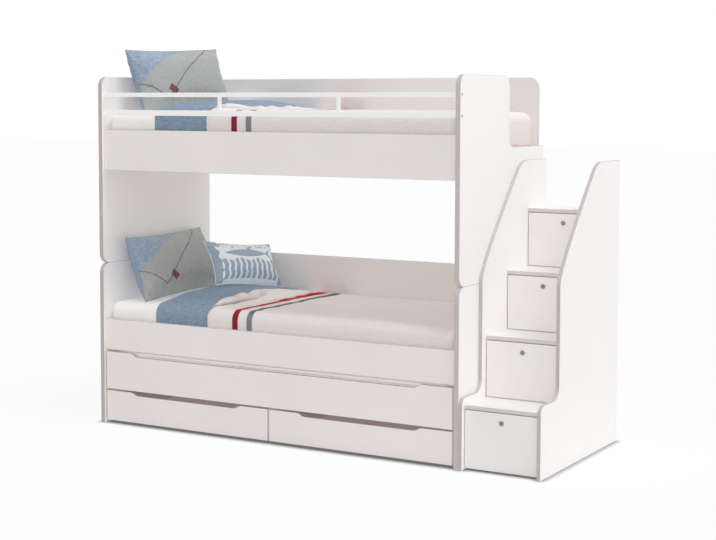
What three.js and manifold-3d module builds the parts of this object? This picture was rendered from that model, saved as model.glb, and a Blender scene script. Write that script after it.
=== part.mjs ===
// Bunk bed with a pull-out bed, two base drawers and a storage staircase, in millimetres.
// +X runs along the bed towards the staircase, +Y runs to the wall and +Z runs up.
// The model is drawn from the bed's left front corner on the floor, and a group moves that
// corner so that the origin is in the middle of the floor area.

import * as THREE from 'three';
import { mergeVertices } from 'three/addons/utils/BufferGeometryUtils.js';
import Module from 'manifold-3d';

const wasm = await Module();
wasm.setup();

// Driving sizes of the bed: its length follows from the mattress and the room round it
const mattressLength = 2000;
const headGap = 8;
const footGap = 34;
const bedDepth = 954;
const bedHeight = 1810;
const lowerHeight = 841;
const endThickness = 24;
const boardThickness = 18;
const endRadius = 50;
const edgeChamfer = 1.2;
const frontInset = 17;

// Clearances and overruns
const fitGap = 0.3;
const runningGap = 3;
const cutOverrun = 5;
const weldTolerance = 0.0005;

// Steps of the curves: arcs take two steps for each one named here
const cornerSteps = 4;
const stringerSteps = 7;
const pullSteps = 6;
const mattressSteps = 4;
const boreSteps = 8;
const knobSteps = 16;
const wheelSteps = 18;
const pinSteps = 10;
const eyeSteps = 3;

// Lower and upper bed boards
const lowerRailBottom = 387.6;
const lowerRailHeight = 161.4;
const upperBoardBottom = 1327.5;
const upperBoardHeight = 209;
const backPanelDrop = 2;
const entryFront = 536;
const entrySill = 1467;
const entryRadius = 50;

// Guard rail, a frame of flat steel tubes
const guardTopHeight = 22;
const guardTopLevel = 1728;
const guardBottomHeight = 28;
const guardBottomLevel = 1639.5;
const guardDepth = 18;
const guardPostWidth = 18;
const guardPostDepth = 12;
const guardPostLeft = 741;
const guardPostRight = 1426;

// Slat bases
const slatCount = 13;
const slatWidth = 70;
const slatThickness = 18;
const slatBearerHeight = 30;
const slatBearerWidth = 30;
const slotShare = 0.9;

// Mattresses and bedding
const mattressThickness = 180;
const mattressEdge = 48;
const mattressCorner = 70;
const lowerMattressTop = 638;
const upperMattressTop = 1637;
const duvetThickness = 6.5;
const duvetTuck = 30;
const duvetStart = 336;
const duvetFoldEnd = 663;
const duvetFoldRise = 48;
const duvetFoldBlend = 110;
const duvetFootGap = 22;
const duvetFoldPower = 0.75;
const duvetEase = 2;
const duvetArcSteps = 4;
const duvetTopSteps = 10;
const sideTuck = 8;

// Pull-out unit
const pullInset = 9;
const frontGap = 10;
const floorGap = 15.5;
const drawerFrontHeight = 158;
const drawerFrontGap = 8;
const pullMargin = 153;
const pullRamp = 56;
const drawerPullDepth = 16;
const trayPullDepth = 18;
const pullEaseShare = 0.5;
const sideStandoff = 6;
const carcassThickness = 16;
const pullBackThickness = 12;
const pullMattressThickness = 180;
const pullMattressGap = 61;
const pullMattressCorner = 55;
const pullMattressEdge = 22;

// Casters under the pull-out unit
const wheelRadius = 24;
const wheelWidth = 14;
const wheelRim = 2;
const wheelPin = 4;
const casterPlate = 3;
const casterCheek = 2.5;
const casterLength = 56;
const casterInset = 70;

// Drawer boxes
const boxWall = 12;
const boxBottom = 6;
const stripHeight = 16;
const stripReach = 11;
const stripDepth = 8;
const baseBoxDepthShare = 0.687;
const baseBoxHeight = 112;
const baseBoxRise = 26;
const baseStripRise = 52;

// Staircase
const stairWidth = 407;
const stairTop = 1400;
const treadTops = [301, 592, 877, 1163];
const riserFronts = [27, 254, 487, 728];
const stairBoxDepthShares = [0.63, 0.78, 0.93, 0.93];
const stairBoxHeightShares = [0.72, 0.72, 0.72, 0.72];
const stairDrawerGap = 3;
const stairToeRadius = 38;
const stringerLip = 34;
const stringerLead = 45;
const stringerCove = 58;
const stringerRise = 857;
const stringerBend = 926;
const slopeEnd = new THREE.Vector2(612, 1353);
const crestVertex = 657;
const crestEnd = 716;
const stairFloorGap = 9;
const baseBoardRise = 12;
const knobRadius = 10.5;
const knobDrop = 67;
const knobProud = 2;
const knobLength = 17;
const knobRim = 1.5;
const knobDish = 1;

// Pillows and the small cushion: their size, their crown to the front and to the back
const pillowWidth = 712;
const pillowHeight = 352;
const pillowFront = 78;
const pillowBack = 102;
const cushionWidth = 434;
const cushionHeight = 262;
const cushionFront = 62;
const cushionBack = 58;
const waistShare = 0.07;
const crownPower = 0.8;
const pillowSteps = { across: 14, up: 10 };
const cushionSteps = { across: 12, up: 8 };

// Where their middles stand, from the end panel, from the front edge and above the mattress
const lowerPillowPlace = [118, 458, 168];
const upperPillowPlace = [139, 486, 166];
const cushionPlace = [418, 690, 148];

// How they are turned, leaned back and rolled, in degrees
const lowerPillowDegrees = { turn: 2.5, lean: 21, roll: 0.5 };
const upperPillowDegrees = { turn: -5, lean: 20, roll: 3.5 };
const cushionDegrees = { turn: -16, lean: 33, roll: -6.5 };

// Sizes worked out from the ones above
const bedLength = mattressLength + headGap + footGap + 2 * endThickness;
const innerLength = bedLength - 2 * endThickness;
const innerRight = bedLength - endThickness;
const railFront = frontInset;
const railBack = frontInset + boardThickness;
const backFront = bedDepth - boardThickness;
const stairLeft = bedLength + fitGap;
const overallLength = stairLeft + stairWidth;

const colours = {
  board: 0xf1edea,
  inner: 0xe9e2df,
  steel: 0xf4f3f4,
  slat: 0xd9bf95,
  ticking: 0xf2efec,
  duvet: 0xe6dedb,
  pillow: 0x9aa09d,
  cushion: 0xb9c8da,
  drawerBox: 0xe4dfda,
  hardboard: 0xe9e5e0,
  caster: 0x4b4d50,
  tyre: 0x8d8f92,
  knob: 0x9a9694,
};

function finish(colour, roughness, metalness = 0) {
  return new THREE.MeshStandardMaterial({ color: colour, roughness, metalness });
}

const finishes = {
  board: () => finish(colours.board, 0.55),
  inner: () => finish(colours.inner, 0.6),
  steel: () => finish(colours.steel, 0.4, 0.1),
  slat: () => finish(colours.slat, 0.7),
  ticking: () => finish(colours.ticking, 0.9),
  duvet: () => finish(colours.duvet, 0.9),
  pillow: () => finish(colours.pillow, 0.9),
  cushion: () => finish(colours.cushion, 0.9),
  drawerBox: () => finish(colours.drawerBox, 0.6),
  caster: () => finish(colours.caster, 0.5, 0.6),
  tyre: () => finish(colours.tyre, 0.6),
  knob: () => finish(colours.knob, 0.35, 0.3),
};

const model = new THREE.Group();
model.position.set(-overallLength / 2, -bedDepth / 2, 0);

function add(name, geometry, material, place = [0, 0, 0]) {
  const mesh = new THREE.Mesh(geometry, material);
  mesh.name = name;
  mesh.position.set(...place);
  model.add(mesh);
  return mesh;
}

// Extrusions: a board cut from an outline, standing along x, along y or lying flat
const acrossX = new THREE.Matrix4().makeBasis(
  new THREE.Vector3(0, 1, 0), new THREE.Vector3(0, 0, 1), new THREE.Vector3(1, 0, 0));
const acrossY = new THREE.Matrix4().makeBasis(
  new THREE.Vector3(1, 0, 0), new THREE.Vector3(0, 0, 1), new THREE.Vector3(0, -1, 0));

function extruded(shape, thickness, curveSegments = cornerSteps, chamfer = edgeChamfer) {
  const geometry = new THREE.ExtrudeGeometry(shape, {
    depth: thickness - 2 * chamfer,
    bevelEnabled: chamfer > 0,
    bevelThickness: chamfer,
    bevelSize: chamfer,
    bevelOffset: -chamfer,
    bevelSegments: 1,
    curveSegments,
  });
  return geometry.translate(0, 0, chamfer);
}

// The outline is drawn in y and z, and the board grows from x = 0 to its thickness
function sideBoard(shape, thickness, steps) {
  return extruded(shape, thickness, steps).applyMatrix4(acrossX);
}

// The outline is drawn in x and z, and the board grows from y = 0 to its thickness
function frontBoard(shape, thickness, steps) {
  return extruded(shape, thickness, steps).applyMatrix4(acrossY).translate(0, thickness, 0);
}

function rectangle(width, height) {
  const shape = new THREE.Shape();
  shape.moveTo(0, 0);
  shape.lineTo(width, 0);
  shape.lineTo(width, height);
  shape.lineTo(0, height);
  shape.closePath();
  return shape;
}

// A rectangle with its own radius at each corner, in the order of its drawing
function roundedRectangle(width, height, [lowStart, lowEnd, highEnd, highStart]) {
  const shape = new THREE.Shape();
  shape.moveTo(lowStart, 0);
  shape.lineTo(width - lowEnd, 0);
  if (lowEnd) shape.absarc(width - lowEnd, lowEnd, lowEnd, -Math.PI / 2, 0, false);
  shape.lineTo(width, height - highEnd);
  if (highEnd) shape.absarc(width - highEnd, height - highEnd, highEnd, 0, Math.PI / 2, false);
  shape.lineTo(highStart, height);
  if (highStart) shape.absarc(highStart, height - highStart, highStart, Math.PI / 2, Math.PI, false);
  shape.lineTo(0, lowStart);
  if (lowStart) shape.absarc(lowStart, lowStart, lowStart, Math.PI, Math.PI * 1.5, false);
  return shape;
}

function plainBox(size) {
  const [x, y, z] = size;
  return new THREE.BoxGeometry(x, y, z).translate(x / 2, y / 2, z / 2);
}

// Booleans
function toSolid(geometry) {
  const bare = new THREE.BufferGeometry();
  bare.setAttribute('position', geometry.getAttribute('position').clone());
  if (geometry.index) bare.setIndex(geometry.index.clone());
  const welded = mergeVertices(bare, weldTolerance);
  return new wasm.Manifold(new wasm.Mesh({
    numProp: 3,
    vertProperties: Float32Array.from(welded.getAttribute('position').array),
    triVerts: Uint32Array.from(welded.index.array),
  }));
}

function toGeometry(solid) {
  const mesh = solid.getMesh();
  const geometry = new THREE.BufferGeometry();
  geometry.setAttribute('position', new THREE.BufferAttribute(Float32Array.from(mesh.vertProperties), 3));
  geometry.setIndex(new THREE.BufferAttribute(Uint32Array.from(mesh.triVerts), 1));
  geometry.computeVertexNormals();
  return geometry;
}

function cut(geometry, ...tools) {
  return toGeometry(tools.reduce((solid, tool) => solid.subtract(toSolid(tool)), toSolid(geometry)));
}

function joined(first, ...others) {
  return toGeometry(others.reduce((solid, other) => solid.add(toSolid(other)), toSolid(first)));
}

// End panels: the lower pair carries the upper pair on its level top edges
function makeEndPanels() {
  const lowerShape = () => roundedRectangle(bedDepth, lowerHeight, [0, 0, endRadius, endRadius]);
  add('lower_left_end_panel', sideBoard(lowerShape(), endThickness), finishes.board());
  add('lower_right_end_panel', sideBoard(lowerShape(), endThickness), finishes.board(), [innerRight, 0, 0]);

  const upperBottom = lowerHeight + fitGap;
  const upperHeight = bedHeight - upperBottom;
  const allCorners = [endRadius, endRadius, endRadius, endRadius];
  const plain = roundedRectangle(bedDepth, upperHeight, allCorners);
  add('upper_left_end_panel', sideBoard(plain, endThickness), finishes.board(), [0, 0, upperBottom]);
  add('upper_right_end_panel', sideBoard(entryShape(upperHeight, entrySill - upperBottom), endThickness),
    finishes.board(), [innerRight, 0, upperBottom]);
}

// The panel at the stairs is cut down behind, so that a child steps through to the mattress
function entryShape(height, sill) {
  const shape = new THREE.Shape();
  shape.moveTo(endRadius, 0);
  shape.lineTo(bedDepth - endRadius, 0);
  shape.absarc(bedDepth - endRadius, endRadius, endRadius, -Math.PI / 2, 0, false);
  shape.lineTo(bedDepth, sill);
  shape.lineTo(entryFront + entryRadius, sill);
  shape.absarc(entryFront + entryRadius, sill + entryRadius, entryRadius, -Math.PI / 2, Math.PI, true);
  shape.lineTo(entryFront, height - endRadius);
  shape.absarc(entryFront - endRadius, height - endRadius, endRadius, 0, Math.PI / 2, false);
  shape.lineTo(endRadius, height);
  shape.absarc(endRadius, height - endRadius, endRadius, Math.PI / 2, Math.PI, false);
  shape.lineTo(0, endRadius);
  shape.absarc(endRadius, endRadius, endRadius, Math.PI, Math.PI * 1.5, false);
  return shape;
}

// Front and back boards between the end panels
function makeBedBoards() {
  const length = innerLength - 2 * fitGap;
  const left = endThickness + fitGap;
  add('lower_front_rail', frontBoard(rectangle(length, lowerRailHeight), boardThickness),
    finishes.board(), [left, railFront, lowerRailBottom]);
  add('upper_front_board', frontBoard(rectangle(length, upperBoardHeight), boardThickness),
    finishes.board(), [left, railFront, upperBoardBottom]);

  const backShape = (height) => roundedRectangle(length, height, [0, 0, endRadius, endRadius]);
  const lowerBackHeight = lowerHeight - backPanelDrop - lowerRailBottom;
  add('lower_back_panel', frontBoard(backShape(lowerBackHeight), boardThickness),
    finishes.board(), [left, backFront, lowerRailBottom]);
  const upperBackHeight = bedHeight - backPanelDrop - upperBoardBottom;
  add('upper_back_panel', frontBoard(backShape(upperBackHeight), boardThickness),
    finishes.board(), [left, backFront, upperBoardBottom]);
}

// Guard rail: two tubes between the end panels, and two posts between the tubes
function makeGuardRail() {
  const length = innerLength - 2 * fitGap;
  const left = endThickness + fitGap;
  const bottomOfTop = guardTopLevel - guardTopHeight;
  add('guard_top_rail', frontBoard(rectangle(length, guardTopHeight), guardDepth),
    finishes.steel(), [left, railFront, bottomOfTop]);
  add('guard_bottom_rail', frontBoard(rectangle(length, guardBottomHeight), guardDepth),
    finishes.steel(), [left, railFront, guardBottomLevel - guardBottomHeight]);

  const postHeight = bottomOfTop - guardBottomLevel - 2 * fitGap;
  const postFront = railFront + (guardDepth - guardPostDepth) / 2;
  for (const [side, x] of [['left', guardPostLeft], ['right', guardPostRight]]) {
    add(`guard_post_${side}`, frontBoard(rectangle(guardPostWidth, postHeight), guardPostDepth),
      finishes.steel(), [x, postFront, guardBottomLevel + fitGap]);
  }
}

// A ladder of slats on two bearers, which are screwed to the front and back boards
function slatBase(length, depth, count) {
  const bearer = plainBox([length, slatBearerWidth, slatBearerHeight + cutOverrun]);
  const front = bearer.clone();
  const back = bearer.clone().translate(0, depth - slatBearerWidth, 0);
  const pitch = (length - slatWidth) / (count - 1);
  const slats = [];
  for (let i = 0; i < count; i++) {
    slats.push(plainBox([slatWidth, depth, slatThickness]).translate(i * pitch, 0, slatBearerHeight));
  }
  return joined(front, back, ...slats);
}

function makeSlatBases() {
  const length = innerLength - 2 * fitGap;
  const depth = backFront - railBack - 2 * fitGap;
  const drop = mattressThickness + fitGap + slatThickness + slatBearerHeight;
  for (const [level, top] of [['lower', lowerMattressTop], ['upper', upperMattressTop]]) {
    add(`${level}_slat_base`, slatBase(length, depth, slatCount), finishes.slat(),
      [endThickness + fitGap, railBack + fitGap, top - drop]);
  }
}

// A mattress with round corners and soft edges
function mattressForm(length, depth, thickness, corner, edge) {
  const shape = roundedRectangle(length, depth, [corner, corner, corner, corner]);
  const form = new THREE.ExtrudeGeometry(shape, {
    depth: thickness - 2 * edge,
    bevelEnabled: true,
    bevelThickness: edge,
    bevelSize: edge,
    bevelOffset: -edge,
    bevelSegments: mattressSteps,
    curveSegments: mattressSteps,
  });
  return form.translate(0, 0, edge);
}

const mattressFront = railBack + sideTuck;
const mattressBack = backFront - sideTuck;
const mattressLeft = endThickness + headGap;
const mattressRight = mattressLeft + mattressLength;

function makeMattresses() {
  for (const [level, top] of [['lower', lowerMattressTop], ['upper', upperMattressTop]]) {
    const depth = mattressBack - mattressFront;
    const form = mattressForm(mattressLength, depth, mattressThickness, mattressCorner,
      mattressEdge);
    add(`${level}_mattress`, form, finishes.ticking(),
      [mattressLeft, mattressFront, top - mattressThickness]);
  }
}

// How far the turned-down end of the duvet swells above its flat part
function foldHeight(x, y) {
  const across = Math.sin(Math.PI * (y - mattressFront) / (mattressBack - mattressFront));
  const past = Math.max(0, x - duvetFoldEnd) / duvetFoldBlend;
  const along = past >= 1 ? 0 : (1 + Math.cos(Math.PI * past)) / 2;
  return duvetFoldRise * along * Math.max(0, across) ** duvetFoldPower;
}

// One cross-section of the duvet, in y and z: over the mattress and tucked in at both sides
function duvetSection(x, top, hem) {
  const front = railBack + fitGap;
  const back = backFront - fitGap;
  const outerRadius = mattressEdge + duvetThickness / 2;
  const innerRadius = mattressEdge - duvetEase;
  const [arcSteps, topSteps] = [duvetArcSteps, duvetTopSteps];
  const path = (inset, radius, crest, rise) => {
    const points = [new THREE.Vector2(front + inset, hem)];
    for (let i = 0; i <= arcSteps; i++) {
      const turn = Math.PI - (Math.PI / 2) * (i / arcSteps);
      points.push(new THREE.Vector2(front + inset + radius + radius * Math.cos(turn),
        crest - radius + radius * Math.sin(turn)));
    }
    const from = front + inset + radius;
    const to = back - inset - radius;
    for (let i = 1; i < topSteps; i++) {
      const y = from + (to - from) * (i / topSteps);
      points.push(new THREE.Vector2(y, crest + rise(y)));
    }
    for (let i = 0; i <= arcSteps; i++) {
      const turn = Math.PI / 2 - (Math.PI / 2) * (i / arcSteps);
      points.push(new THREE.Vector2(back - inset - radius + radius * Math.cos(turn),
        crest - radius + radius * Math.sin(turn)));
    }
    points.push(new THREE.Vector2(back - inset, hem));
    return points;
  };
  const outer = path(0, outerRadius, top + duvetThickness + fitGap, (y) => foldHeight(x, y));
  const inner = path(duvetThickness, innerRadius, top + fitGap, () => 0);
  return { outer, inner };
}

// The duvet is lofted through its cross-sections, and closed at its two ends and hems
function duvetForm(top, hem) {
  const end = mattressRight + duvetFootGap / 2;
  const foldShares = [0, 0.04, 0.12, 0.3, 0.6, 0.9, 1];
  const blendShares = [0.25, 0.5, 0.75, 1];
  const flatShares = [0.25, 0.5, 0.75, 1];
  const flatStart = duvetFoldEnd + duvetFoldBlend;
  const stations = [
    ...foldShares.map((share) => duvetStart + share * (duvetFoldEnd - duvetStart)),
    ...blendShares.map((share) => duvetFoldEnd + share * duvetFoldBlend),
    ...flatShares.map((share) => flatStart + share * (end - flatStart)),
  ];
  const positions = [];
  for (const x of stations) {
    const { outer, inner } = duvetSection(x, top, hem);
    for (const point of [...outer, ...inner.reverse()]) positions.push(x, point.x, point.y);
  }
  const ring = positions.length / 3 / stations.length;
  const index = [];
  for (let s = 0; s < stations.length - 1; s++) {
    for (let i = 0; i < ring; i++) {
      const next = (i + 1) % ring;
      const [a, b, c, d] = [s * ring + i, s * ring + next, (s + 1) * ring + next, (s + 1) * ring + i];
      index.push(a, c, b, a, d, c);
    }
  }
  const last = (stations.length - 1) * ring;
  for (let i = 0; i < ring / 2 - 1; i++) {
    const mate = ring - 1 - i;
    index.push(i, i + 1, mate, i + 1, mate - 1, mate);
    index.push(last + i, last + mate, last + i + 1, last + i + 1, last + mate, last + mate - 1);
  }
  const form = new THREE.BufferGeometry();
  form.setAttribute('position', new THREE.Float32BufferAttribute(positions, 3));
  form.setIndex(index);
  form.computeVertexNormals();
  return form;
}

const lowerHem = lowerRailBottom + lowerRailHeight - duvetTuck;
const upperHem = upperBoardBottom + upperBoardHeight - duvetTuck;

function makeDuvets() {
  add('lower_duvet', duvetForm(lowerMattressTop, lowerHem), finishes.duvet());
  add('upper_duvet', duvetForm(upperMattressTop, upperHem), finishes.duvet());
}

// A stuffed cushion: two crowned sheets that meet in a seam, drawn in between four corners
function cushionForm([width, height, front, back], { across: columns, up: rows }) {
  const positions = [];
  const index = [];
  const grid = [];
  const vertexAt = (i, j, side) => {
    const a = (i / columns - 0.5) * Math.PI;
    const b = (j / rows - 0.5) * Math.PI;
    const u = Math.sin(a);
    const v = Math.sin(b);
    const x = (width / 2) * u * (1 - waistShare * (1 - v * v));
    const y = (height / 2) * v * (1 - waistShare * (1 - u * u));
    const crown = Math.max(0, Math.cos(a) * Math.cos(b)) ** crownPower;
    positions.push(x, y, side > 0 ? front * crown : -back * crown);
    return positions.length / 3 - 1;
  };
  for (const side of [1, -1]) {
    const sheet = [];
    for (let i = 0; i <= columns; i++) {
      const line = [];
      for (let j = 0; j <= rows; j++) {
        const onSeam = i === 0 || j === 0 || i === columns || j === rows;
        line.push(side < 0 && onSeam ? grid[0][i][j] : vertexAt(i, j, side));
      }
      sheet.push(line);
    }
    grid.push(sheet);
    for (let i = 0; i < columns; i++) {
      for (let j = 0; j < rows; j++) {
        const quad = [sheet[i][j], sheet[i + 1][j], sheet[i + 1][j + 1], sheet[i][j + 1]];
        const [a, b, c, d] = side > 0 ? quad : [...quad].reverse();
        index.push(a, b, c, a, c, d);
      }
    }
  }
  const form = new THREE.BufferGeometry();
  form.setAttribute('position', new THREE.Float32BufferAttribute(positions, 3));
  form.setIndex(index);
  return form;
}

// Stands a cushion up: it faces +x, then is rolled in its own plane, leaned back and turned
function stood(form, centre, { turn, lean, roll }) {
  const upright = new THREE.Matrix4().makeBasis(
    new THREE.Vector3(0, 1, 0), new THREE.Vector3(0, 0, 1), new THREE.Vector3(1, 0, 0));
  const rolled = new THREE.Matrix4().makeRotationZ(THREE.MathUtils.degToRad(roll));
  const leaned = new THREE.Matrix4().makeRotationY(-THREE.MathUtils.degToRad(lean));
  const turned = new THREE.Matrix4().makeRotationZ(THREE.MathUtils.degToRad(turn));
  const moved = new THREE.Matrix4().makeTranslation(...centre);
  return form.applyMatrix4(moved.multiply(turned).multiply(leaned).multiply(upright).multiply(rolled));
}

// What a cushion rests on or against, grown by the fit gap, so that it is flattened there
function restingBlocks(mattressTop, duvet) {
  const bedBlock = plainBox([mattressLength, bedDepth, mattressThickness])
    .translate(0, 0, mattressTop + fitGap - mattressThickness);
  const endBlock = plainBox([endThickness + fitGap + cutOverrun, 2 * bedDepth, bedHeight])
    .translate(-cutOverrun, -bedDepth / 2, 0);
  const duvetBlock = duvet.clone().translate(0, 0, fitGap);
  return [bedBlock, endBlock, duvetBlock];
}

function makePillow(name, form, place, degrees, mattressTop, hem, material, ...blocks) {
  const [fromEnd, fromFront, aboveBed] = place;
  const centre = [endThickness + fromEnd, fromFront, mattressTop + aboveBed];
  const body = stood(form, centre, degrees);
  const rests = restingBlocks(mattressTop, duvetForm(mattressTop, hem));
  add(name, cut(body, ...rests, ...blocks), material);
}

function makePillows() {
  const pillow = () => cushionForm([pillowWidth, pillowHeight, pillowFront, pillowBack], pillowSteps);
  const small = cushionForm([cushionWidth, cushionHeight, cushionFront, cushionBack], cushionSteps);
  makePillow('lower_pillow', pillow(), lowerPillowPlace, lowerPillowDegrees, lowerMattressTop, lowerHem,
    finishes.pillow());
  makePillow('upper_pillow', pillow(), upperPillowPlace, upperPillowDegrees, upperMattressTop, upperHem,
    finishes.pillow());

  const backBlock = plainBox([bedLength, bedDepth, lowerHeight - backPanelDrop + fitGap])
    .translate(0, backFront - fitGap, 0);
  makePillow('small_cushion', small, cushionPlace, cushionDegrees, lowerMattressTop, lowerHem,
    finishes.cushion(), backBlock);
}

// The front of the tray or of a base drawer, with a hand-hold cut out of its top edge
function pullFrontShape(width, height, cutDepth) {
  const shape = new THREE.Shape();
  shape.moveTo(0, 0);
  shape.lineTo(width, 0);
  shape.lineTo(width, height);
  shape.lineTo(width - pullMargin, height);
  const rightFoot = width - pullMargin - pullRamp;
  shape.bezierCurveTo(width - pullMargin - pullRamp * pullEaseShare, height,
    rightFoot + pullRamp * pullEaseShare, height - cutDepth, rightFoot, height - cutDepth);
  const leftFoot = pullMargin + pullRamp;
  shape.lineTo(leftFoot, height - cutDepth);
  shape.bezierCurveTo(leftFoot - pullRamp * pullEaseShare, height - cutDepth,
    pullMargin + pullRamp * pullEaseShare, height, pullMargin, height);
  shape.lineTo(0, height);
  shape.closePath();
  return shape;
}

// Where the pieces of the pull-out unit are
const unitLeft = endThickness + frontGap;
const unitRight = innerRight - frontGap;
const unitLength = unitRight - unitLeft;
const carcassFront = pullInset + boardThickness + fitGap;
const carcassBack = bedDepth - frontInset + runningGap;
const traySupport = floorGap + drawerFrontHeight + drawerFrontGap;
const trayFrontHeight = lowerRailBottom - frontGap - traySupport;
const casterHeight = 2 * wheelRadius + 2 * fitGap + casterPlate + wheelPin / 2;
const panelBottom = casterHeight + fitGap;
const panelHeight = traySupport - panelBottom;
const panelDepth = carcassBack - pullBackThickness - fitGap - carcassFront;
const leftPanelX = unitLeft + sideStandoff;
const rightPanelX = unitRight - sideStandoff - carcassThickness;
const dividerX = (unitLeft + unitRight - carcassThickness) / 2;
const stripBottom = floorGap + baseBoxRise + baseStripRise;
const baseBoxDepth = panelDepth * baseBoxDepthShare;

// A side of the carcass with the wooden strips that its drawers run on
function carcassPanel(facesLeft, facesRight) {
  const panel = plainBox([carcassThickness, panelDepth, panelHeight]);
  const strip = plainBox([stripReach + cutOverrun, baseBoxDepth, stripHeight]);
  const rise = stripBottom - panelBottom;
  const strips = [];
  if (facesRight) strips.push(strip.clone().translate(carcassThickness - cutOverrun, 0, rise));
  if (facesLeft) strips.push(strip.clone().translate(-stripReach, 0, rise));
  return joined(panel, ...strips);
}

function makePullOutCarcass() {
  const front = pullFrontShape(unitLength, trayFrontHeight, trayPullDepth);
  add('pullout_front', frontBoard(front, boardThickness, pullSteps), finishes.board(),
    [unitLeft, pullInset, traySupport]);
  const place = (x) => [x, carcassFront, panelBottom];
  add('pullout_left_side', carcassPanel(false, true), finishes.inner(), place(leftPanelX));
  add('pullout_right_side', carcassPanel(true, false), finishes.inner(), place(rightPanelX));
  add('pullout_divider', carcassPanel(true, true), finishes.inner(), place(dividerX));
  const backHeight = trayFrontHeight + panelHeight - trayPullDepth;
  add('pullout_back_panel', plainBox([unitLength - 2 * sideStandoff, pullBackThickness, backHeight]),
    finishes.inner(), [leftPanelX, carcassBack - pullBackThickness, panelBottom]);
}

// The tray bed: slats on the carcass, and the guest mattress on the slats
function makePullOutBed() {
  const length = unitLength - 2 * sideStandoff;
  const board = plainBox([length, panelDepth, slatThickness]);
  const gap = slatWidth * slotShare;
  const pitch = (length - slatWidth) / (slatCount - 1);
  const margin = slatBearerWidth;
  const slots = [];
  for (let i = 0; i < slatCount - 1; i++) {
    slots.push(plainBox([gap, panelDepth - 2 * margin, slatThickness + 2 * cutOverrun])
      .translate(slatWidth + i * pitch, margin, -cutOverrun));
  }
  add('pullout_slat_base', cut(board, ...slots), finishes.slat(),
    [leftPanelX, carcassFront, traySupport + fitGap]);

  const depth = panelDepth - 2 * fitGap;
  const bedSpan = unitLength - 2 * pullMattressGap;
  const bed = mattressForm(bedSpan, depth, pullMattressThickness, pullMattressCorner,
    pullMattressEdge);
  add('pullout_mattress', bed, finishes.ticking(),
    [unitLeft + pullMattressGap, carcassFront + fitGap, traySupport + 2 * fitGap + slatThickness]);
}

// A fixed caster: a folded fork with its pin, and a wheel that turns on the pin
function casterFork() {
  const halfGap = wheelWidth / 2 + 2 * fitGap;
  const width = 2 * (halfGap + casterCheek);
  const plate = plainBox([width, casterLength, casterPlate + cutOverrun])
    .translate(-width / 2, -casterLength / 2, wheelRadius + wheelPin / 2 + 2 * fitGap - cutOverrun);
  const hollow = plainBox([2 * halfGap, casterLength + 2 * cutOverrun, cutOverrun * 2])
    .translate(-halfGap, -casterLength / 2 - cutOverrun,
      wheelRadius + wheelPin / 2 + 2 * fitGap - cutOverrun * 2);
  const cheekShape = new THREE.Shape();
  const eye = wheelPin * 2;
  const top = wheelRadius + wheelPin / 2 + 2 * fitGap;
  cheekShape.moveTo(-casterLength / 2, top);
  cheekShape.lineTo(-eye, 0);
  cheekShape.absarc(0, 0, eye, Math.PI, Math.PI * 2, false);
  cheekShape.lineTo(casterLength / 2, top);
  cheekShape.closePath();
  const cheek = extruded(cheekShape, casterCheek, eyeSteps, 0).applyMatrix4(acrossX);
  const left = cheek.clone().translate(-halfGap - casterCheek, 0, 0);
  const right = cheek.clone().translate(halfGap, 0, 0);
  const pin = new THREE.CylinderGeometry(wheelPin, wheelPin, width, pinSteps).rotateZ(Math.PI / 2);
  return joined(cut(plate, hollow), left, right, pin);
}

function casterWheel() {
  const half = wheelWidth / 2;
  const bore = wheelPin + fitGap;
  const round = wheelRim;
  const profile = [
    new THREE.Vector2(bore, -half),
    new THREE.Vector2(wheelRadius - round, -half),
    new THREE.Vector2(wheelRadius, -half + round),
    new THREE.Vector2(wheelRadius, half - round),
    new THREE.Vector2(wheelRadius - round, half),
    new THREE.Vector2(bore, half),
    new THREE.Vector2(bore, -half),
  ];
  return new THREE.LatheGeometry(profile, wheelSteps).rotateZ(Math.PI / 2);
}

function makeCasters() {
  const xs = { left: leftPanelX + carcassThickness / 2, right: rightPanelX + carcassThickness / 2 };
  const ys = { front: carcassFront + casterInset, back: carcassFront + panelDepth - casterInset };
  for (const [side, x] of Object.entries(xs)) {
    for (const [end, y] of Object.entries(ys)) {
      add(`caster_fork_${end}_${side}`, casterFork(), finishes.caster(), [x, y, wheelRadius]);
      add(`caster_wheel_${end}_${side}`, casterWheel(), finishes.tyre(), [x, y, wheelRadius]);
    }
  }
}

// A drawer box: four walls and a bottom, with grooves in its sides where it runs on strips
function drawerBox(width, depth, height, grooveRise) {
  const hollow = plainBox([width - 2 * boxWall, depth - 2 * boxWall, height])
    .translate(boxWall, boxWall, boxBottom);
  const tools = [hollow];
  if (grooveRise) {
    const groove = plainBox([stripDepth + fitGap + cutOverrun, depth + 2 * cutOverrun,
      stripHeight + 2 * fitGap]);
    tools.push(groove.clone().translate(-cutOverrun, -cutOverrun, grooveRise));
    tools.push(groove.clone().translate(width - stripDepth - fitGap, -cutOverrun, grooveRise));
  }
  return cut(plainBox([width, depth, height]), ...tools);
}

function makeBaseDrawers() {
  const frontWidth = (unitLength - frontGap) / 2;
  const cavities = {
    left: { front: unitLeft, from: leftPanelX + carcassThickness, to: dividerX },
    right: { front: unitLeft + frontWidth + frontGap, from: dividerX + carcassThickness, to: rightPanelX },
  };
  for (const [side, { front, from, to }] of Object.entries(cavities)) {
    add(`drawer_${side}_front`,
      frontBoard(pullFrontShape(frontWidth, drawerFrontHeight, drawerPullDepth), boardThickness, pullSteps),
      finishes.board(), [front, pullInset, floorGap]);
    const width = to - from - 2 * runningGap;
    const box = drawerBox(width, baseBoxDepth, baseBoxHeight, baseStripRise - fitGap);
    add(`drawer_${side}_box`, box, finishes.drawerBox(),
      [from + runningGap, carcassFront, floorGap + baseBoxRise]);
  }
}

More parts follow.
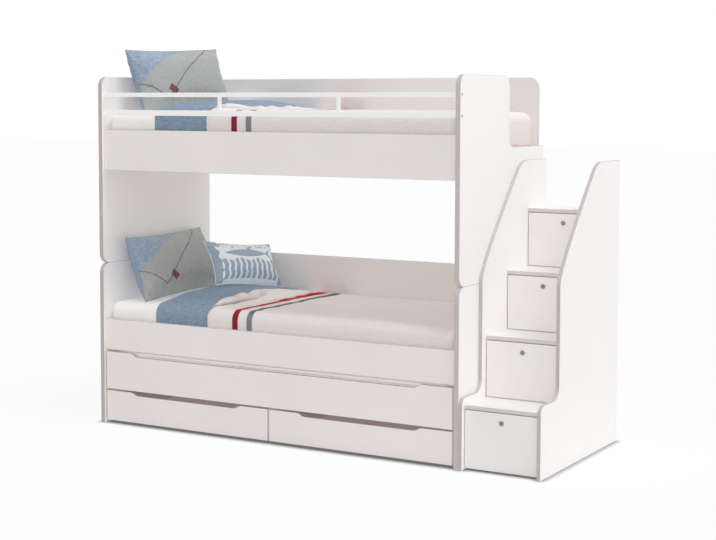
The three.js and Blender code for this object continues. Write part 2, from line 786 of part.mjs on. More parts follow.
// The side of the staircase: an upright with a toe step, a cove, a curved slope and a level top
function stringerShape() {
  const landing = treadTops[0] + stringerLip;
  const upright = riserFronts[1] - stringerLead;
  const shape = new THREE.Shape();
  shape.moveTo(0, 0);
  shape.lineTo(bedDepth, 0);
  shape.lineTo(bedDepth, stairTop);
  shape.lineTo(crestEnd, stairTop);
  shape.quadraticCurveTo(crestVertex, stairTop, slopeEnd.x, slopeEnd.y);
  shape.quadraticCurveTo(upright, stringerBend, upright, stringerRise);
  shape.lineTo(upright, landing + stringerCove);
  shape.absarc(upright - stringerCove, landing + stringerCove, stringerCove, 0, -Math.PI / 2, true);
  shape.lineTo(stairToeRadius, landing);
  shape.absarc(stairToeRadius, landing - stairToeRadius, stairToeRadius, Math.PI / 2, Math.PI, false);
  shape.closePath();
  return shape;
}

const stringerInner = stairLeft + boardThickness;
const stringerOuter = stairLeft + stairWidth - boardThickness;
const treadLeft = stringerInner + fitGap;
const treadWidth = stringerOuter - stringerInner - 2 * fitGap;
const stairBackFront = bedDepth - boardThickness;

function makeStairCarcass() {
  add('stair_inner_stringer', sideBoard(stringerShape(), boardThickness, stringerSteps),
    finishes.board(), [stairLeft, 0, 0]);
  add('stair_outer_stringer', sideBoard(stringerShape(), boardThickness, stringerSteps),
    finishes.board(), [stringerOuter, 0, 0]);
  treadTops.forEach((top, step) => {
    const back = step === treadTops.length - 1 ? bedDepth : stairBackFront - fitGap;
    const depth = back - riserFronts[step];
    add(`stair_tread_${step + 1}`, frontBoard(rectangle(treadWidth, boardThickness), depth),
      finishes.board(), [treadLeft, riserFronts[step], top - boardThickness]);
  });
  const baseFront = riserFronts[0] + boardThickness + runningGap;
  add('stair_base_board', plainBox([treadWidth, stairBackFront - fitGap - baseFront, boardThickness]),
    finishes.inner(), [treadLeft, baseFront, baseBoardRise]);
  const backTop = treadTops.at(-1) - boardThickness - fitGap;
  add('stair_back_panel', plainBox([treadWidth, boardThickness, backTop - baseBoardRise]),
    finishes.inner(), [treadLeft, stairBackFront, baseBoardRise]);
}

// A stair drawer front with a bore for its push knob
function stairFront(width, height) {
  const shape = rectangle(width, height);
  const bore = new THREE.Path();
  bore.absarc(width / 2, height + stairDrawerGap + boardThickness - knobDrop, knobRadius + fitGap,
    0, Math.PI * 2, true);
  shape.holes.push(bore);
  return frontBoard(shape, boardThickness, boreSteps);
}

// A push knob: a turned button with a dished face, drawn out when it is pressed
function knobForm() {
  const profile = [
    new THREE.Vector2(0, 0),
    new THREE.Vector2(knobRadius, 0),
    new THREE.Vector2(knobRadius, knobLength - knobRim),
    new THREE.Vector2(knobRadius - knobRim, knobLength),
    new THREE.Vector2(knobRadius - 2 * knobRim, knobLength),
    new THREE.Vector2(knobRadius - 3 * knobRim, knobLength - knobDish),
    new THREE.Vector2(0, knobLength - knobDish),
  ];
  return new THREE.LatheGeometry(profile, knobSteps).rotateX(Math.PI);
}

function makeStairDrawers() {
  const frontWidth = treadWidth - 2 * stairDrawerGap;
  const frontX = treadLeft + stairDrawerGap;
  treadTops.forEach((top, step) => {
    const y = riserFronts[step];
    const bottom = step === 0 ? stairFloorGap : treadTops[step - 1] + stairDrawerGap;
    const height = top - boardThickness - stairDrawerGap - bottom;
    const boxFloor = step === 0 ? baseBoardRise + boardThickness : treadTops[step - 1];
    const boxHeight = (top - boardThickness - boxFloor) * stairBoxHeightShares[step];
    const boxFront = y + boardThickness + fitGap;
    const boxDepth = (stairBackFront - boxFront) * stairBoxDepthShares[step];
    const label = step + 1;
    add(`stair_drawer_front_${label}`, stairFront(frontWidth, height), finishes.board(), [frontX, y, bottom]);
    add(`stair_drawer_box_${label}`,
      drawerBox(treadWidth - 2 * runningGap, boxDepth, boxHeight, 0),
      finishes.drawerBox(), [treadLeft + runningGap, boxFront, boxFloor + fitGap]);
    add(`stair_knob_${label}`, knobForm(), finishes.knob(),
      [treadLeft + treadWidth / 2, y + knobLength - knobProud, top - knobDrop]);
  });
}

makeEndPanels();
makeBedBoards();
makeGuardRail();
makeSlatBases();
makeMattresses();
makeDuvets();
makePillows();
makePullOutCarcass();
makePullOutBed();
makeCasters();
makeBaseDrawers();
makeStairCarcass();
makeStairDrawers();

export default model;
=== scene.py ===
import math

import bmesh
import bpy
from mathutils import Matrix, Vector, noise


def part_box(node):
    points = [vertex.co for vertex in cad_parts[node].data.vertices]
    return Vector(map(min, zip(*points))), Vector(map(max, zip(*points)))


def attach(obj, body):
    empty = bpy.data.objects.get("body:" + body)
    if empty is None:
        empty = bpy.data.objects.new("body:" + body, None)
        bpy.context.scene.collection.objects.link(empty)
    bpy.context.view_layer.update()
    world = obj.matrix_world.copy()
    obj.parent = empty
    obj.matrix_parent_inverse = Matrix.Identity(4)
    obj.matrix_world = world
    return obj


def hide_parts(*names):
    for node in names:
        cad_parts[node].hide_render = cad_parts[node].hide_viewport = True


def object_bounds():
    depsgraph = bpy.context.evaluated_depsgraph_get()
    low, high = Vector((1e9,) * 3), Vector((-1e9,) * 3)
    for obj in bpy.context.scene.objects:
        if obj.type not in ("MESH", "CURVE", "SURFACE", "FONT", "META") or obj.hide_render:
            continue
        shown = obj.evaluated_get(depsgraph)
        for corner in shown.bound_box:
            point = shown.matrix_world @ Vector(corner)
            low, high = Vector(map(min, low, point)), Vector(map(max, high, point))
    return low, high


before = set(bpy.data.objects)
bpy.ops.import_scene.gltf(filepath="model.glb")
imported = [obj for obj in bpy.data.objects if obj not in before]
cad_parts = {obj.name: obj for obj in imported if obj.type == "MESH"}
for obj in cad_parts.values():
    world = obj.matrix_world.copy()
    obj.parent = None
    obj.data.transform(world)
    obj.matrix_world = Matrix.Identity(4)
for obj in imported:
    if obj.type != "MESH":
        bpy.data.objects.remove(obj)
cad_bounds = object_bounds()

# Places and sizes below are in millimetres from the bed's lower left front corner
CORNER = Vector(cad_bounds[0])
MM = 0.001

END_PANEL = 24
BED_LENGTH = 2090
RAIL_BACK = 35
BACK_PANEL_FRONT = 936

STEPS = range(1, 5)

MATTRESS_LEFT, MATTRESS_RIGHT = 25.5, 2032
MATTRESS_FRONT, MATTRESS_BACK = 43, 928
MATTRESS_THICK = 180
MATTRESS_EDGE = 48
MATTRESS_CORNER = 50
MATTRESS_CELLS = (40, 20, 4)
GUEST_CORNER, GUEST_EDGE = 55, 22
GUEST_CELLS = (76, 36, 4)
QUILT_DEPTH = 3.5
QUILT_PITCH = (150, 148)
DOME_RISE = 2.2
RIPPLE, RIPPLE_PITCH = 1.1, (160, 120, 90)
TOP_SPARE = 1.5
PIPING_RADIUS = 3.2
PIPING_INSET, PIPING_SUNK = 14, 3
LEVELS = {
    "lower": {"top": 638, "hem": 521, "foot_hem": 490},
    "upper": {"top": 1637, "hem": 1508.5, "foot_hem": 1464},
}

FOLD_LEFT, FOLD_RIGHT = 336, 663
FOLD_RISE = 48
FOLD_ROUND = 44
COVER_RIGHT = 2040
COVER_THICK = 4.5
COVER_INSET = 3.4
COVER_CELLS = (150, 130)
FOLD_CELLS = (40, 92)
FOOT_ROUND = 42
# Towards the foot end the mattresses sink, and the coverlets' hems hang lower
FOOT_SAG = 10
SAG_START, SAG_LENGTH = 1820, 210
HEM_DROP_START, HEM_DROP_LENGTH = 1700, 280
# The bedding's gap to the boards beside it, and how round it is over the mattress's long edges
BOARD_GAP = 0.3
EDGE_EASE, LEAST_ROUND = 3.25, 9
ROUND_START = COVER_RIGHT - FOOT_ROUND
CREST = 6.8
# The turned-down end: its reach under the coverlet, its loft, and how its two cloths lie
FOLD_OVERLAP, FOLD_LOFT = 32, 2
INNER_INSET, OUTER_INSET, OUTER_SWELL, OUTER_TUCK = 6.0, 5.2, 4.4, 3.6

PUFFY = {"waist": 0.07, "crown": 0.8}
# A case's size, how far its front and back swell, its cells across and up, and its seam's radius
PILLOW = {"size": (712, 352), "front": 78, "back": 102, "cells": (92, 46), "seam": 1.7, **PUFFY}
CUSHION = {"size": (434, 262), "front": 62, "back": 58, "cells": (64, 40), "seam": 1.6, **PUFFY}
CASE_SLACK = 0.93
PILLOW_POSES = {
    "lower": {"centre": (140, 454, 807), "turn": 2.5, "lean": 21, "roll": 0.5,
              "ears": {(1, -1): (-24, 6)}},
    "upper": {"centre": (163, 486, 1801), "turn": -5, "lean": 20, "roll": 3.5,
              "ears": {(1, 1): (34, -14), (-1, 1): (4, 6)}},
}
CUSHION_POSE = {"centre": (440, 688, 793), "turn": -16, "lean": 33, "roll": -6.5,
                "ears": {(-1, 1): (-8, 8), (1, 1): (6, 6), (-1, -1): (-10, 6), (1, -1): (2, 4)}}

# Colours, as red, green and blue in linear light
# The boards share one white melamine and one mauve band. The lighter white, the treads' white, the
# stair fronts' white and the left panels' band are lit and shaded copies that paint light and
# shade.
BOARD_WHITE = (0.885, 0.865, 0.85)
PAINTED_SHADE_TREAD_WHITE = (0.805, 0.79, 0.78)
STAIR_WHITE = (0.905, 0.882, 0.868)
FRONT_WHITE = (0.88, 0.848, 0.828)
PAINTED_LIGHT_WHITE = (0.915, 0.905, 0.895)
BAND_MAUVE = (0.565, 0.515, 0.505)
BAND_MAUVE_PAINTED_SHADE = (0.50, 0.455, 0.445)
BAND_GREY = (0.52, 0.485, 0.475)
BAND_PALE = (0.68, 0.64, 0.625)
BAND_LIGHT = (0.78, 0.735, 0.725)
# Painted shade of the gaps above and below the drawer fronts, on their top and bottom edges
BAND_PAINTED_GAP_SHADE = (0.42, 0.365, 0.36)
INNER_WHITE = (0.86, 0.83, 0.815)
# Taupe of the drawer boxes: partly their finish and partly painted shade, dark enough that the gaps
# and hand-holds look shaded
BOX_TAUPE_AND_SHADE = (0.56, 0.495, 0.49)
SEAM_DARK = (0.36, 0.31, 0.30)
DUST_GREY = (0.55, 0.52, 0.5)
SHEET_WHITE = (0.93, 0.915, 0.89)
COVER_WHITE = (0.83, 0.78, 0.768)
DENIM_BLUE = (0.20, 0.275, 0.37)
DENIM_LIGHT = (0.34, 0.42, 0.52)
FLAP_GREY = (0.37, 0.385, 0.378)
DUVET_BLUE = (0.165, 0.24, 0.335)
DUVET_LIGHT = (0.29, 0.375, 0.475)
PIPING_DARK = (0.06, 0.075, 0.095)
# The stripes' colours, each with a copy for where the cloth hangs down the front: lit and shaded
# copies that paint light and shade
STRIPE_RED = (0.47, 0.006, 0.014)
STRIPE_RED_PAINTED_SHADE = (0.25, 0.018, 0.032)
STRIPE_TEAL = (0.12, 0.165, 0.17)
STRIPE_GREY = (0.225, 0.235, 0.275)
PRINT_BLUE = (0.22, 0.31, 0.43)
PRINT_WHITE = (0.80, 0.86, 0.90)
TRIM_WHITE = (0.80, 0.785, 0.765)
SHEET_SHADE = (0.7, 0.68, 0.66)
# Painted shade in the coverlet's creases
PAINTED_CREASE_SHADE = (0.16, 0.125, 0.095)
# Painted shade in the dent along the coverlet's hem stitches
HEM_DENT_SHADE = (0.45, 0.4, 0.38)
LABEL_BAND = (0.42, 0.22, 0.23)
GRAIN_BROWN = (0.50, 0.33, 0.18)
PORE_BROWN = (0.30, 0.19, 0.1)
# Darker and paler tone of a finish
WOOD_TONES = (0.60, 0.43, 0.26), (0.74, 0.57, 0.38)
COATED_WHITES = (0.975, 0.965, 0.96), (0.99, 0.985, 0.98)
PLATED_GREYS = (0.52, 0.53, 0.55), (0.68, 0.69, 0.7)
CASTER_GREYS = (0.41, 0.42, 0.43), (0.48, 0.49, 0.5)
KNOB_GREYS = (0.19, 0.18, 0.18), (0.27, 0.26, 0.26)
CAP_GREYS = (0.34, 0.33, 0.33), (0.42, 0.41, 0.4)
RING_WHITES = (0.78, 0.745, 0.735), (0.84, 0.805, 0.795)
LABEL_REDS = (0.085, 0.008, 0.016), (0.19, 0.02, 0.032)
FLOOR_GREYS = (0.79, 0.79, 0.79), (0.81, 0.81, 0.81)
FLOOR_SHADE = (0.13, 0.12, 0.115)


def place(x, y, z):
    """A place on the bed, in millimetres from its corner, as a point of the row frame."""
    return CORNER + Vector((x, y, z)) * MM


def clamp(value, low=0.0, high=1.0):
    return max(low, min(high, value))


def smooth(value):
    """Rises softly from 0 to 1 while the value does."""
    t = clamp(value)
    return t * t * (3 - 2 * t)


def shaded(colour, share):
    """The colour made darker, or paler up to white."""
    return [min(1, c * share) for c in colour]


# The camera, set as the photograph's: place in millimetres, turns in radians, focus in pixels
CAMERA_POINT = (5135.02, -6191.28, 1688.61)
CAMERA_YAW, CAMERA_PITCH, CAMERA_ROLL = 0.5238, 0.0732, 0.0021
CAMERA_FOCUS = 1524.6
CAMERA_SHIFT = -0.08
PHOTO_WIDTH = 716
FILM_WIDTH, VIEW_END = 36, 200


def make_camera():
    data = bpy.data.cameras.new("camera")
    data.sensor_fit = "HORIZONTAL"
    data.sensor_width = FILM_WIDTH
    data.lens = CAMERA_FOCUS / PHOTO_WIDTH * data.sensor_width
    data.shift_y = CAMERA_SHIFT
    data.clip_end = VIEW_END
    forward = Vector((-math.sin(CAMERA_YAW) * math.cos(CAMERA_PITCH),
                      math.cos(CAMERA_YAW) * math.cos(CAMERA_PITCH), -math.sin(CAMERA_PITCH)))
    level = Vector((math.cos(CAMERA_YAW), math.sin(CAMERA_YAW), 0))
    up = level.cross(forward)
    right = level * math.cos(CAMERA_ROLL) + up * math.sin(CAMERA_ROLL)
    turned_up = right.cross(forward)
    turn = Matrix((right, turned_up, -forward)).transposed().to_4x4()
    camera = bpy.data.objects.new("camera", data)
    camera.matrix_world = Matrix.Translation(place(*CAMERA_POINT)) @ turn
    bpy.context.collection.objects.link(camera)
    bpy.context.scene.camera = camera


def make_sun(name, towards, strength, softness, colour, shadows):
    data = bpy.data.lights.new(name, "SUN")
    data.energy = strength
    data.color = colour
    data.angle = math.radians(softness)
    data.use_shadow = shadows
    lamp = bpy.data.objects.new(name, data)
    lamp.matrix_world = Vector(towards).to_track_quat("Z", "Y").to_matrix().to_4x4()
    bpy.context.collection.objects.link(lamp)


# Small helpers for node trees

def put(tree, kind, values=None, **settings):
    """Adds a node, with its settings and with values or links on its sockets."""
    made = tree.nodes.new(kind)
    for name, value in settings.items():
        setattr(made, name, value)
    for socket, value in (values or {}).items():
        feed(tree, made.inputs[socket], value)
    return made


def feed(tree, socket, value):
    """Links a socket or a node's first output to a socket, or sets its constant."""
    if isinstance(value, bpy.types.NodeSocket):
        tree.links.new(value, socket)
    elif isinstance(value, bpy.types.Node):
        tree.links.new(value.outputs[0], socket)
    elif socket.type == "RGBA" and len(value) == 3:
        socket.default_value = (*value, 1)
    else:
        socket.default_value = value


def maths(tree, operation, a, b=None, c=None, capped=False):
    values = {i: v for i, v in enumerate((a, b, c)) if v is not None}
    return put(tree, "ShaderNodeMath", values, operation=operation, use_clamp=capped).outputs[0]


def soft_step(tree, value, low, high):
    made = put(tree, "ShaderNodeMapRange", {0: value, 1: low, 2: high},
               interpolation_type="SMOOTHSTEP")
    return made.outputs[0]


def blend_colour(tree, factor, a, b):
    return put(tree, "ShaderNodeMix", {0: factor, 6: a, 7: b}, data_type="RGBA").outputs[2]


def tinted(tree, mask, share, under, over):
    """Lays one colour over another where the mask says so, up to a share."""
    return blend_colour(tree, maths(tree, "MULTIPLY", mask, share), under, over)


def noise_at(tree, where, scale, detail=2.0, rough=0.5):
    values = {"Vector": where, "Scale": scale, "Detail": detail, "Roughness": rough}
    return put(tree, "ShaderNodeTexNoise", values).outputs[0]


def stretched(tree, where, scale):
    return put(tree, "ShaderNodeMapping", {"Vector": where, "Scale": scale}).outputs[0]


def parts_of(tree, vector):
    return put(tree, "ShaderNodeSeparateXYZ", {0: vector}).outputs


def new_group(name, inputs, outputs):
    """An empty node group; gives its tree, what it is given and what it hands out."""
    group = bpy.data.node_groups.new(name, "ShaderNodeTree")
    kinds = {"value": "NodeSocketFloat", "vector": "NodeSocketVector", "colour": "NodeSocketColor"}
    for label, kind, default in inputs:
        socket = group.interface.new_socket(label, in_out="INPUT", socket_type=kinds[kind])
        if default is not None:
            socket.default_value = default
    for label, kind in outputs:
        group.interface.new_socket(label, in_out="OUTPUT", socket_type=kinds[kind])
    given = group.nodes.new("NodeGroupInput").outputs
    return group, given, group.nodes.new("NodeGroupOutput").inputs


def use(tree, group, values):
    made = tree.nodes.new("ShaderNodeGroup")
    made.node_tree = group
    for name, value in values.items():
        feed(tree, made.inputs[name], value)
    return made.outputs


# Effects that several materials share, each a node group

def group_board_edges():
    """Tells a board's faces from its edge band by the way the surface faces."""
    tree, given, out = new_group(
        "board_edges", [("Facing", "vector", None), ("Across", "vector", (0, 1, 0))],
        [("Band", "value"), ("Seam", "value")])
    dot = put(tree, "ShaderNodeVectorMath", {0: given["Facing"], 1: given["Across"]},
              operation="DOT_PRODUCT").outputs["Value"]
    facing = maths(tree, "ABSOLUTE", dot)
    feed(tree, out["Band"], soft_step(tree, facing, 0.9, 0.6))
    rising = soft_step(tree, facing, 0.25, 0.55)
    feed(tree, out["Seam"], maths(tree, "MULTIPLY", rising, soft_step(tree, facing, 0.97, 0.85)))
    return tree


def group_melamine():
    """The fine orange peel of a pressed melamine face, with slow changes of tone and sheen."""
    tree, given, out = new_group(
        "melamine", [("Vector", "vector", None), ("Fineness", "value", 900.0)],
        [("Height", "value"), ("Tone", "value"), ("Sheen", "value")])
    feed(tree, out["Height"], noise_at(tree, given["Vector"], given["Fineness"], 3.0, 0.6))
    slow = noise_at(tree, given["Vector"], 2.6, 3.0)
    feed(tree, out["Tone"], soft_step(tree, slow, 0.25, 0.75))
    feed(tree, out["Sheen"], noise_at(tree, given["Vector"], 21.0, 4.0, 0.65))
    return tree


def group_dust():
    """Dust near the floor and in a thin film on what faces up, and rubbed marks along the edges."""
    tree, given, out = new_group(
        "dust_and_rub", [("Vector", "vector", None), ("Facing", "vector", None),
                         ("Edge", "value", 0.0)],
        [("Dust", "value"), ("Rub", "value")])
    height = parts_of(tree, given["Vector"])["Z"]
    up = soft_step(tree, parts_of(tree, given["Facing"])["Z"], 0.6, 1.0)
    cloudy = noise_at(tree, given["Vector"], 11.0, 4.0, 0.6)
    low = soft_step(tree, height, 0.07, 0.0)
    film = maths(tree, "MULTIPLY", up, 0.35)
    feed(tree, out["Dust"], maths(tree, "MULTIPLY", maths(tree, "MAXIMUM", low, film), cloudy))
    patches = soft_step(tree, noise_at(tree, given["Vector"], 34.0, 5.0, 0.7), 0.56, 0.7)
    feed(tree, out["Rub"], maths(tree, "MULTIPLY", patches, given["Edge"]))
    return tree


def group_weave():
    """A weave of threads laid over a cloth's own flat map, with a twill slope where asked."""
    tree, given, out = new_group(
        "weave", [("Flat", "vector", None), ("Threads", "value", 900.0), ("Slope", "value", 0.0)],
        [("Height", "value"), ("Thread", "value")])
    along = parts_of(tree, given["Flat"])
    turns = maths(tree, "MULTIPLY", given["Threads"], math.tau)
    sloped = maths(tree, "MULTIPLY_ADD", along["Y"], given["Slope"], along["X"])
    warp = maths(tree, "SINE", maths(tree, "MULTIPLY", sloped, turns))
    weft = maths(tree, "SINE", maths(tree, "MULTIPLY", along["Y"], turns))
    crossed = maths(tree, "MULTIPLY", warp, weft)
    feed(tree, out["Height"], maths(tree, "MULTIPLY_ADD", crossed, 0.5, 0.5))
    fine = noise_at(tree, stretched(tree, given["Flat"], (1.0, 0.12, 1.0)), 620.0, 3.0, 0.7)
    feed(tree, out["Thread"], soft_step(tree, fine, 0.3, 0.7))
    return tree


def group_heather():
    """Heathered yarn: short darker and paler streaks along both threads, and slow fading."""
    tree, given, out = new_group(
        "heather", [("Flat", "vector", None), ("Streaks", "value", 130.0)],
        [("Yarn", "value"), ("Fade", "value")])
    warp, weft = (noise_at(tree, stretched(tree, given["Flat"], scale), given["Streaks"], 5.0, 0.72)
                  for scale in ((1.0, 0.13, 1.0), (0.16, 1.0, 1.0)))
    blotch = noise_at(tree, stretched(tree, given["Flat"], (0.6, 1.0, 1.0)), 68.0, 3.0, 0.6)
    mixed = maths(tree, "MULTIPLY_ADD", blotch, 1.5, maths(tree, "ADD", warp, weft))
    feed(tree, out["Yarn"], maths(tree, "MULTIPLY_ADD", mixed, 1.35, -1.86, capped=True))
    slow = noise_at(tree, given["Flat"], 9.0, 4.0, 0.6)
    feed(tree, out["Fade"], soft_step(tree, slow, 0.3, 0.72))
    return tree


def group_creases():
    """Soft long creases and small puckers of laid cloth; the hollows get painted shade."""
    tree, given, out = new_group(
        "creases", [("Flat", "vector", None), ("Stretch", "vector", (1.0, 1.0, 1.0)),
                    ("Scale", "value", 5.0)], [("Height", "value"), ("Painted Shade", "value")])
    bent = noise_at(tree, given["Flat"], 4.0, 2.0)
    shifted = put(tree, "ShaderNodeVectorMath", {0: given["Flat"], 1: (0.1, 0.1, 0.1), 2: bent},
                  operation="MULTIPLY_ADD").outputs[0]
    laid = put(tree, "ShaderNodeVectorMath", {0: shifted, 1: given["Stretch"]},
               operation="MULTIPLY").outputs[0]
    slow = noise_at(tree, laid, given["Scale"], 3.0, 0.55)
    ridges = maths(tree, "ABSOLUTE", maths(tree, "SUBTRACT", slow, 0.5))
    feed(tree, out["Height"], maths(tree, "SUBTRACT", 1.0, maths(tree, "MULTIPLY", ridges, 4.0)))
    feed(tree, out["Painted Shade"], soft_step(tree, slow, 0.42, 0.3))
    return tree


def group_stripe():
    """A stripe between two places along one direction, with woven, slightly uneven borders."""
    tree, given, out = new_group(
        "stripe", [("Place", "value", 0.0), ("Start", "value", 0.0), ("End", "value", 1.0),
                   ("Flat", "vector", None), ("Border", "value", 0.0012)], [("Mask", "value")])
    ragged = noise_at(tree, given["Flat"], 420.0, 2.0)
    spot = maths(tree, "MULTIPLY_ADD", maths(tree, "SUBTRACT", ragged, 0.5), given["Border"],
                 given["Place"])
    begun = maths(tree, "ADD", given["Start"], given["Border"])
    after = soft_step(tree, spot, given["Start"], begun)
    ended = maths(tree, "ADD", given["End"], given["Border"])
    before = soft_step(tree, spot, ended, given["End"])
    feed(tree, out["Mask"], maths(tree, "MULTIPLY", after, before))
    return tree


def group_stitches():
    """A row of stitches that runs along one direction at a given place across it."""
    tree, given, out = new_group(
        "stitches", [("Across", "value", 0.0), ("Along", "value", 0.0), ("Line", "value", 0.0),
                     ("Pitch", "value", 0.0045), ("Width", "value", 0.0011)],
        [("Thread", "value"), ("Dent", "value")])
    away = maths(tree, "ABSOLUTE", maths(tree, "SUBTRACT", given["Across"], given["Line"]))
    near = soft_step(tree, away, given["Width"], 0.0)
    step = maths(tree, "FRACT", maths(tree, "DIVIDE", given["Along"], given["Pitch"]))
    lit = soft_step(tree, maths(tree, "ABSOLUTE", maths(tree, "SUBTRACT", step, 0.5)), 0.42, 0.3)
    feed(tree, out["Thread"], maths(tree, "MULTIPLY", near, lit))
    wide = maths(tree, "MULTIPLY", given["Width"], 3.0)
    feed(tree, out["Dent"], soft_step(tree, away, wide, 0.0))
    return tree


def group_wood():
    """Pale plywood: long grain, pores and slow waves of tone along the slat."""
    tree, given, out = new_group(
        "pale_wood", [("Vector", "vector", None), ("Along", "vector", (1.0, 1.0, 1.0))],
        [("Grain", "value"), ("Pores", "value"), ("Tone", "value")])
    laid = put(tree, "ShaderNodeVectorMath", {0: given["Vector"], 1: given["Along"]},
               operation="MULTIPLY").outputs[0]
    waves = put(tree, "ShaderNodeTexWave", {"Vector": laid, "Scale": 22.0, "Distortion": 5.5,
                                            "Detail": 3.0, "Detail Scale": 1.6}).outputs[1]
    feed(tree, out["Grain"], waves)
    feed(tree, out["Pores"], soft_step(tree, noise_at(tree, laid, 260.0, 3.0, 0.7), 0.6, 0.68))
    feed(tree, out["Tone"], noise_at(tree, laid, 6.0, 2.0))
    return tree


EDGES = group_board_edges()
MELAMINE = group_melamine()
DUST = group_dust()
WEAVE = group_weave()
HEATHER = group_heather()
CREASES = group_creases()
STRIPE = group_stripe()
STITCHES = group_stitches()
WOOD = group_wood()


# The finishes of the boards, fittings and cloths

def new_material(name, roughness=0.5, **constants):
    """An empty material with its shader; numbers that are the same all over go on the shader."""
    material = bpy.data.materials.new(name)
    material.use_nodes = True
    tree = material.node_tree
    shader = tree.nodes["Principled BSDF"]
    shader.inputs["Roughness"].default_value = roughness
    for label, value in constants.items():
        feed(tree, shader.inputs[label.replace("_", " ")], value)
    coordinates = tree.nodes.new("ShaderNodeTexCoord").outputs
    return material, tree, shader.inputs, coordinates


def bump(tree, surface, height, distance, strength=1.0, under=None):
    values = {"Height": height, "Distance": distance, "Strength": strength}
    if under is not None:
        values["Normal"] = under
    made = put(tree, "ShaderNodeBump", values).outputs[0]
    feed(tree, surface["Normal"], made)
    return made


def painted(tree, surface, colour, mask, change, least):
    """Gives the shader its colour, and a roughness that changes from its least with a mask."""
    feed(tree, surface["Base Color"], colour)
    feed(tree, surface["Roughness"], maths(tree, "MULTIPLY_ADD", mask, change, least))


def new_cloth_material(name, flat_map, roughness, sheen, streaks, weave, folds, **constants):
    """An empty cloth material with its yarn, weave and folds on one of the cloth's maps."""
    material, tree, surface, at = new_material(name, roughness, Sheen_Weight=sheen,
                                               Sheen_Roughness=0.5, **constants)
    flat = at[flat_map]
    return (material, tree, surface, at, use(tree, HEATHER, {"Flat": flat, "Streaks": streaks}),
            use(tree, WEAVE, {"Flat": flat, **weave}), use(tree, CREASES, {"Flat": flat, **folds}))


def cloth_relief(tree, surface, folds, depth, weave, thread=0.0002, strength=0.5):
    """Raises the folds of a cloth, and its threads over them, by depths in metres."""
    large = bump(tree, surface, folds["Height"], depth, 0.5)
    bump(tree, surface, weave["Height"], thread, strength, large)


BOARD_SHEEN, INNER_SHEEN, BOX_SHEEN = 0.36, 0.5, 0.46


def board_material(name, across, face, band, sheen=BOARD_SHEEN, upright=None):
    """White faced board with a coloured edge band and a fine glue line beside the band.

    The band on the edges that face left and right may have its own colour, upright.
    """
    material, tree, surface, at = new_material(name, sheen, Specular_IOR_Level=0.42)
    edges = use(tree, EDGES, {"Facing": at["Normal"], "Across": across})
    skin = use(tree, MELAMINE, {"Vector": at["Object"]})
    marks = use(tree, DUST, {"Vector": at["Object"], "Facing": at["Normal"], "Edge": edges["Band"]})
    plain = blend_colour(tree, skin["Tone"], shaded(face, 0.972), face)
    if upright:
        sideways = maths(tree, "ABSOLUTE", parts_of(tree, at["Normal"])["X"])
        band = blend_colour(tree, soft_step(tree, sideways, 0.85, 0.95), band, upright)
    banded = blend_colour(tree, edges["Band"], plain, band)
    seamed = tinted(tree, edges["Seam"], 0.6, banded, SEAM_DARK)
    rubbed = tinted(tree, marks["Rub"], 0.22, seamed, face)
    dusty = tinted(tree, marks["Dust"], 0.16, rubbed, DUST_GREY)
    rough = maths(tree, "MULTIPLY_ADD", skin["Sheen"], 0.14, sheen - 0.07)
    dull = maths(tree, "MULTIPLY_ADD", marks["Dust"], 0.3, rough)
    painted(tree, surface, dusty, edges["Band"], 0.08, dull)
    bump(tree, surface, skin["Height"], 0.00012, 0.5)
    return material


def wood_material(name, along):
    """Pale wood, with its grain along the axis whose scale is the least."""
    material, tree, surface, at = new_material(name, 0.55)
    wood = use(tree, WOOD, {"Vector": at["Object"], "Along": along})
    tone = blend_colour(tree, wood["Tone"], *WOOD_TONES)
    grain = tinted(tree, wood["Grain"], 0.4, tone, GRAIN_BROWN)
    pores = tinted(tree, wood["Pores"], 0.3, grain, PORE_BROWN)
    painted(tree, surface, pores, wood["Grain"], 0.16, 0.46)
    bump(tree, surface, maths(tree, "SUBTRACT", wood["Grain"], wood["Pores"]), 0.0003, 0.5)
    return material


def coated_steel_material():
    material, tree, surface, at = new_material("white_coated_steel", 0.3, Coat_Weight=0.25,
                                               Coat_Roughness=0.2)
    peel = noise_at(tree, at["Object"], 480.0, 3.0, 0.6)
    slow = noise_at(tree, at["Object"], 6.0, 3.0)
    painted(tree, surface, blend_colour(tree, slow, *COATED_WHITES), slow, 0.12, 0.24)
    bump(tree, surface, peel, 0.00016, 0.6)
    return material


def plated_steel_material():
    material, tree, surface, at = new_material("plated_steel", 0.32, Metallic=1.0)
    grain = noise_at(tree, stretched(tree, at["Object"], (1.0, 1.0, 0.08)), 700.0, 3.0)
    spots = noise_at(tree, at["Object"], 60.0, 5.0, 0.7)
    painted(tree, surface, blend_colour(tree, spots, *PLATED_GREYS), spots, 0.3, 0.18)
    bump(tree, surface, grain, 0.00008, 0.5)
    return material


def moulded_material(name, dark, light, fineness, sheen):
    """Moulded plastic with a fine spark-eroded texture."""
    material, tree, surface, at = new_material(name, sheen)
    fine = noise_at(tree, at["Object"], fineness, 4.0, 0.65)
    slow = noise_at(tree, at["Object"], 18.0, 4.0, 0.6)
    painted(tree, surface, blend_colour(tree, slow, dark, light), slow, 0.2, sheen - 0.1)
    bump(tree, surface, fine, 0.0002, 0.55)
    return material


FOLDS_FLAT, FOLDS_QUILTED = 0.0022, 0.0012


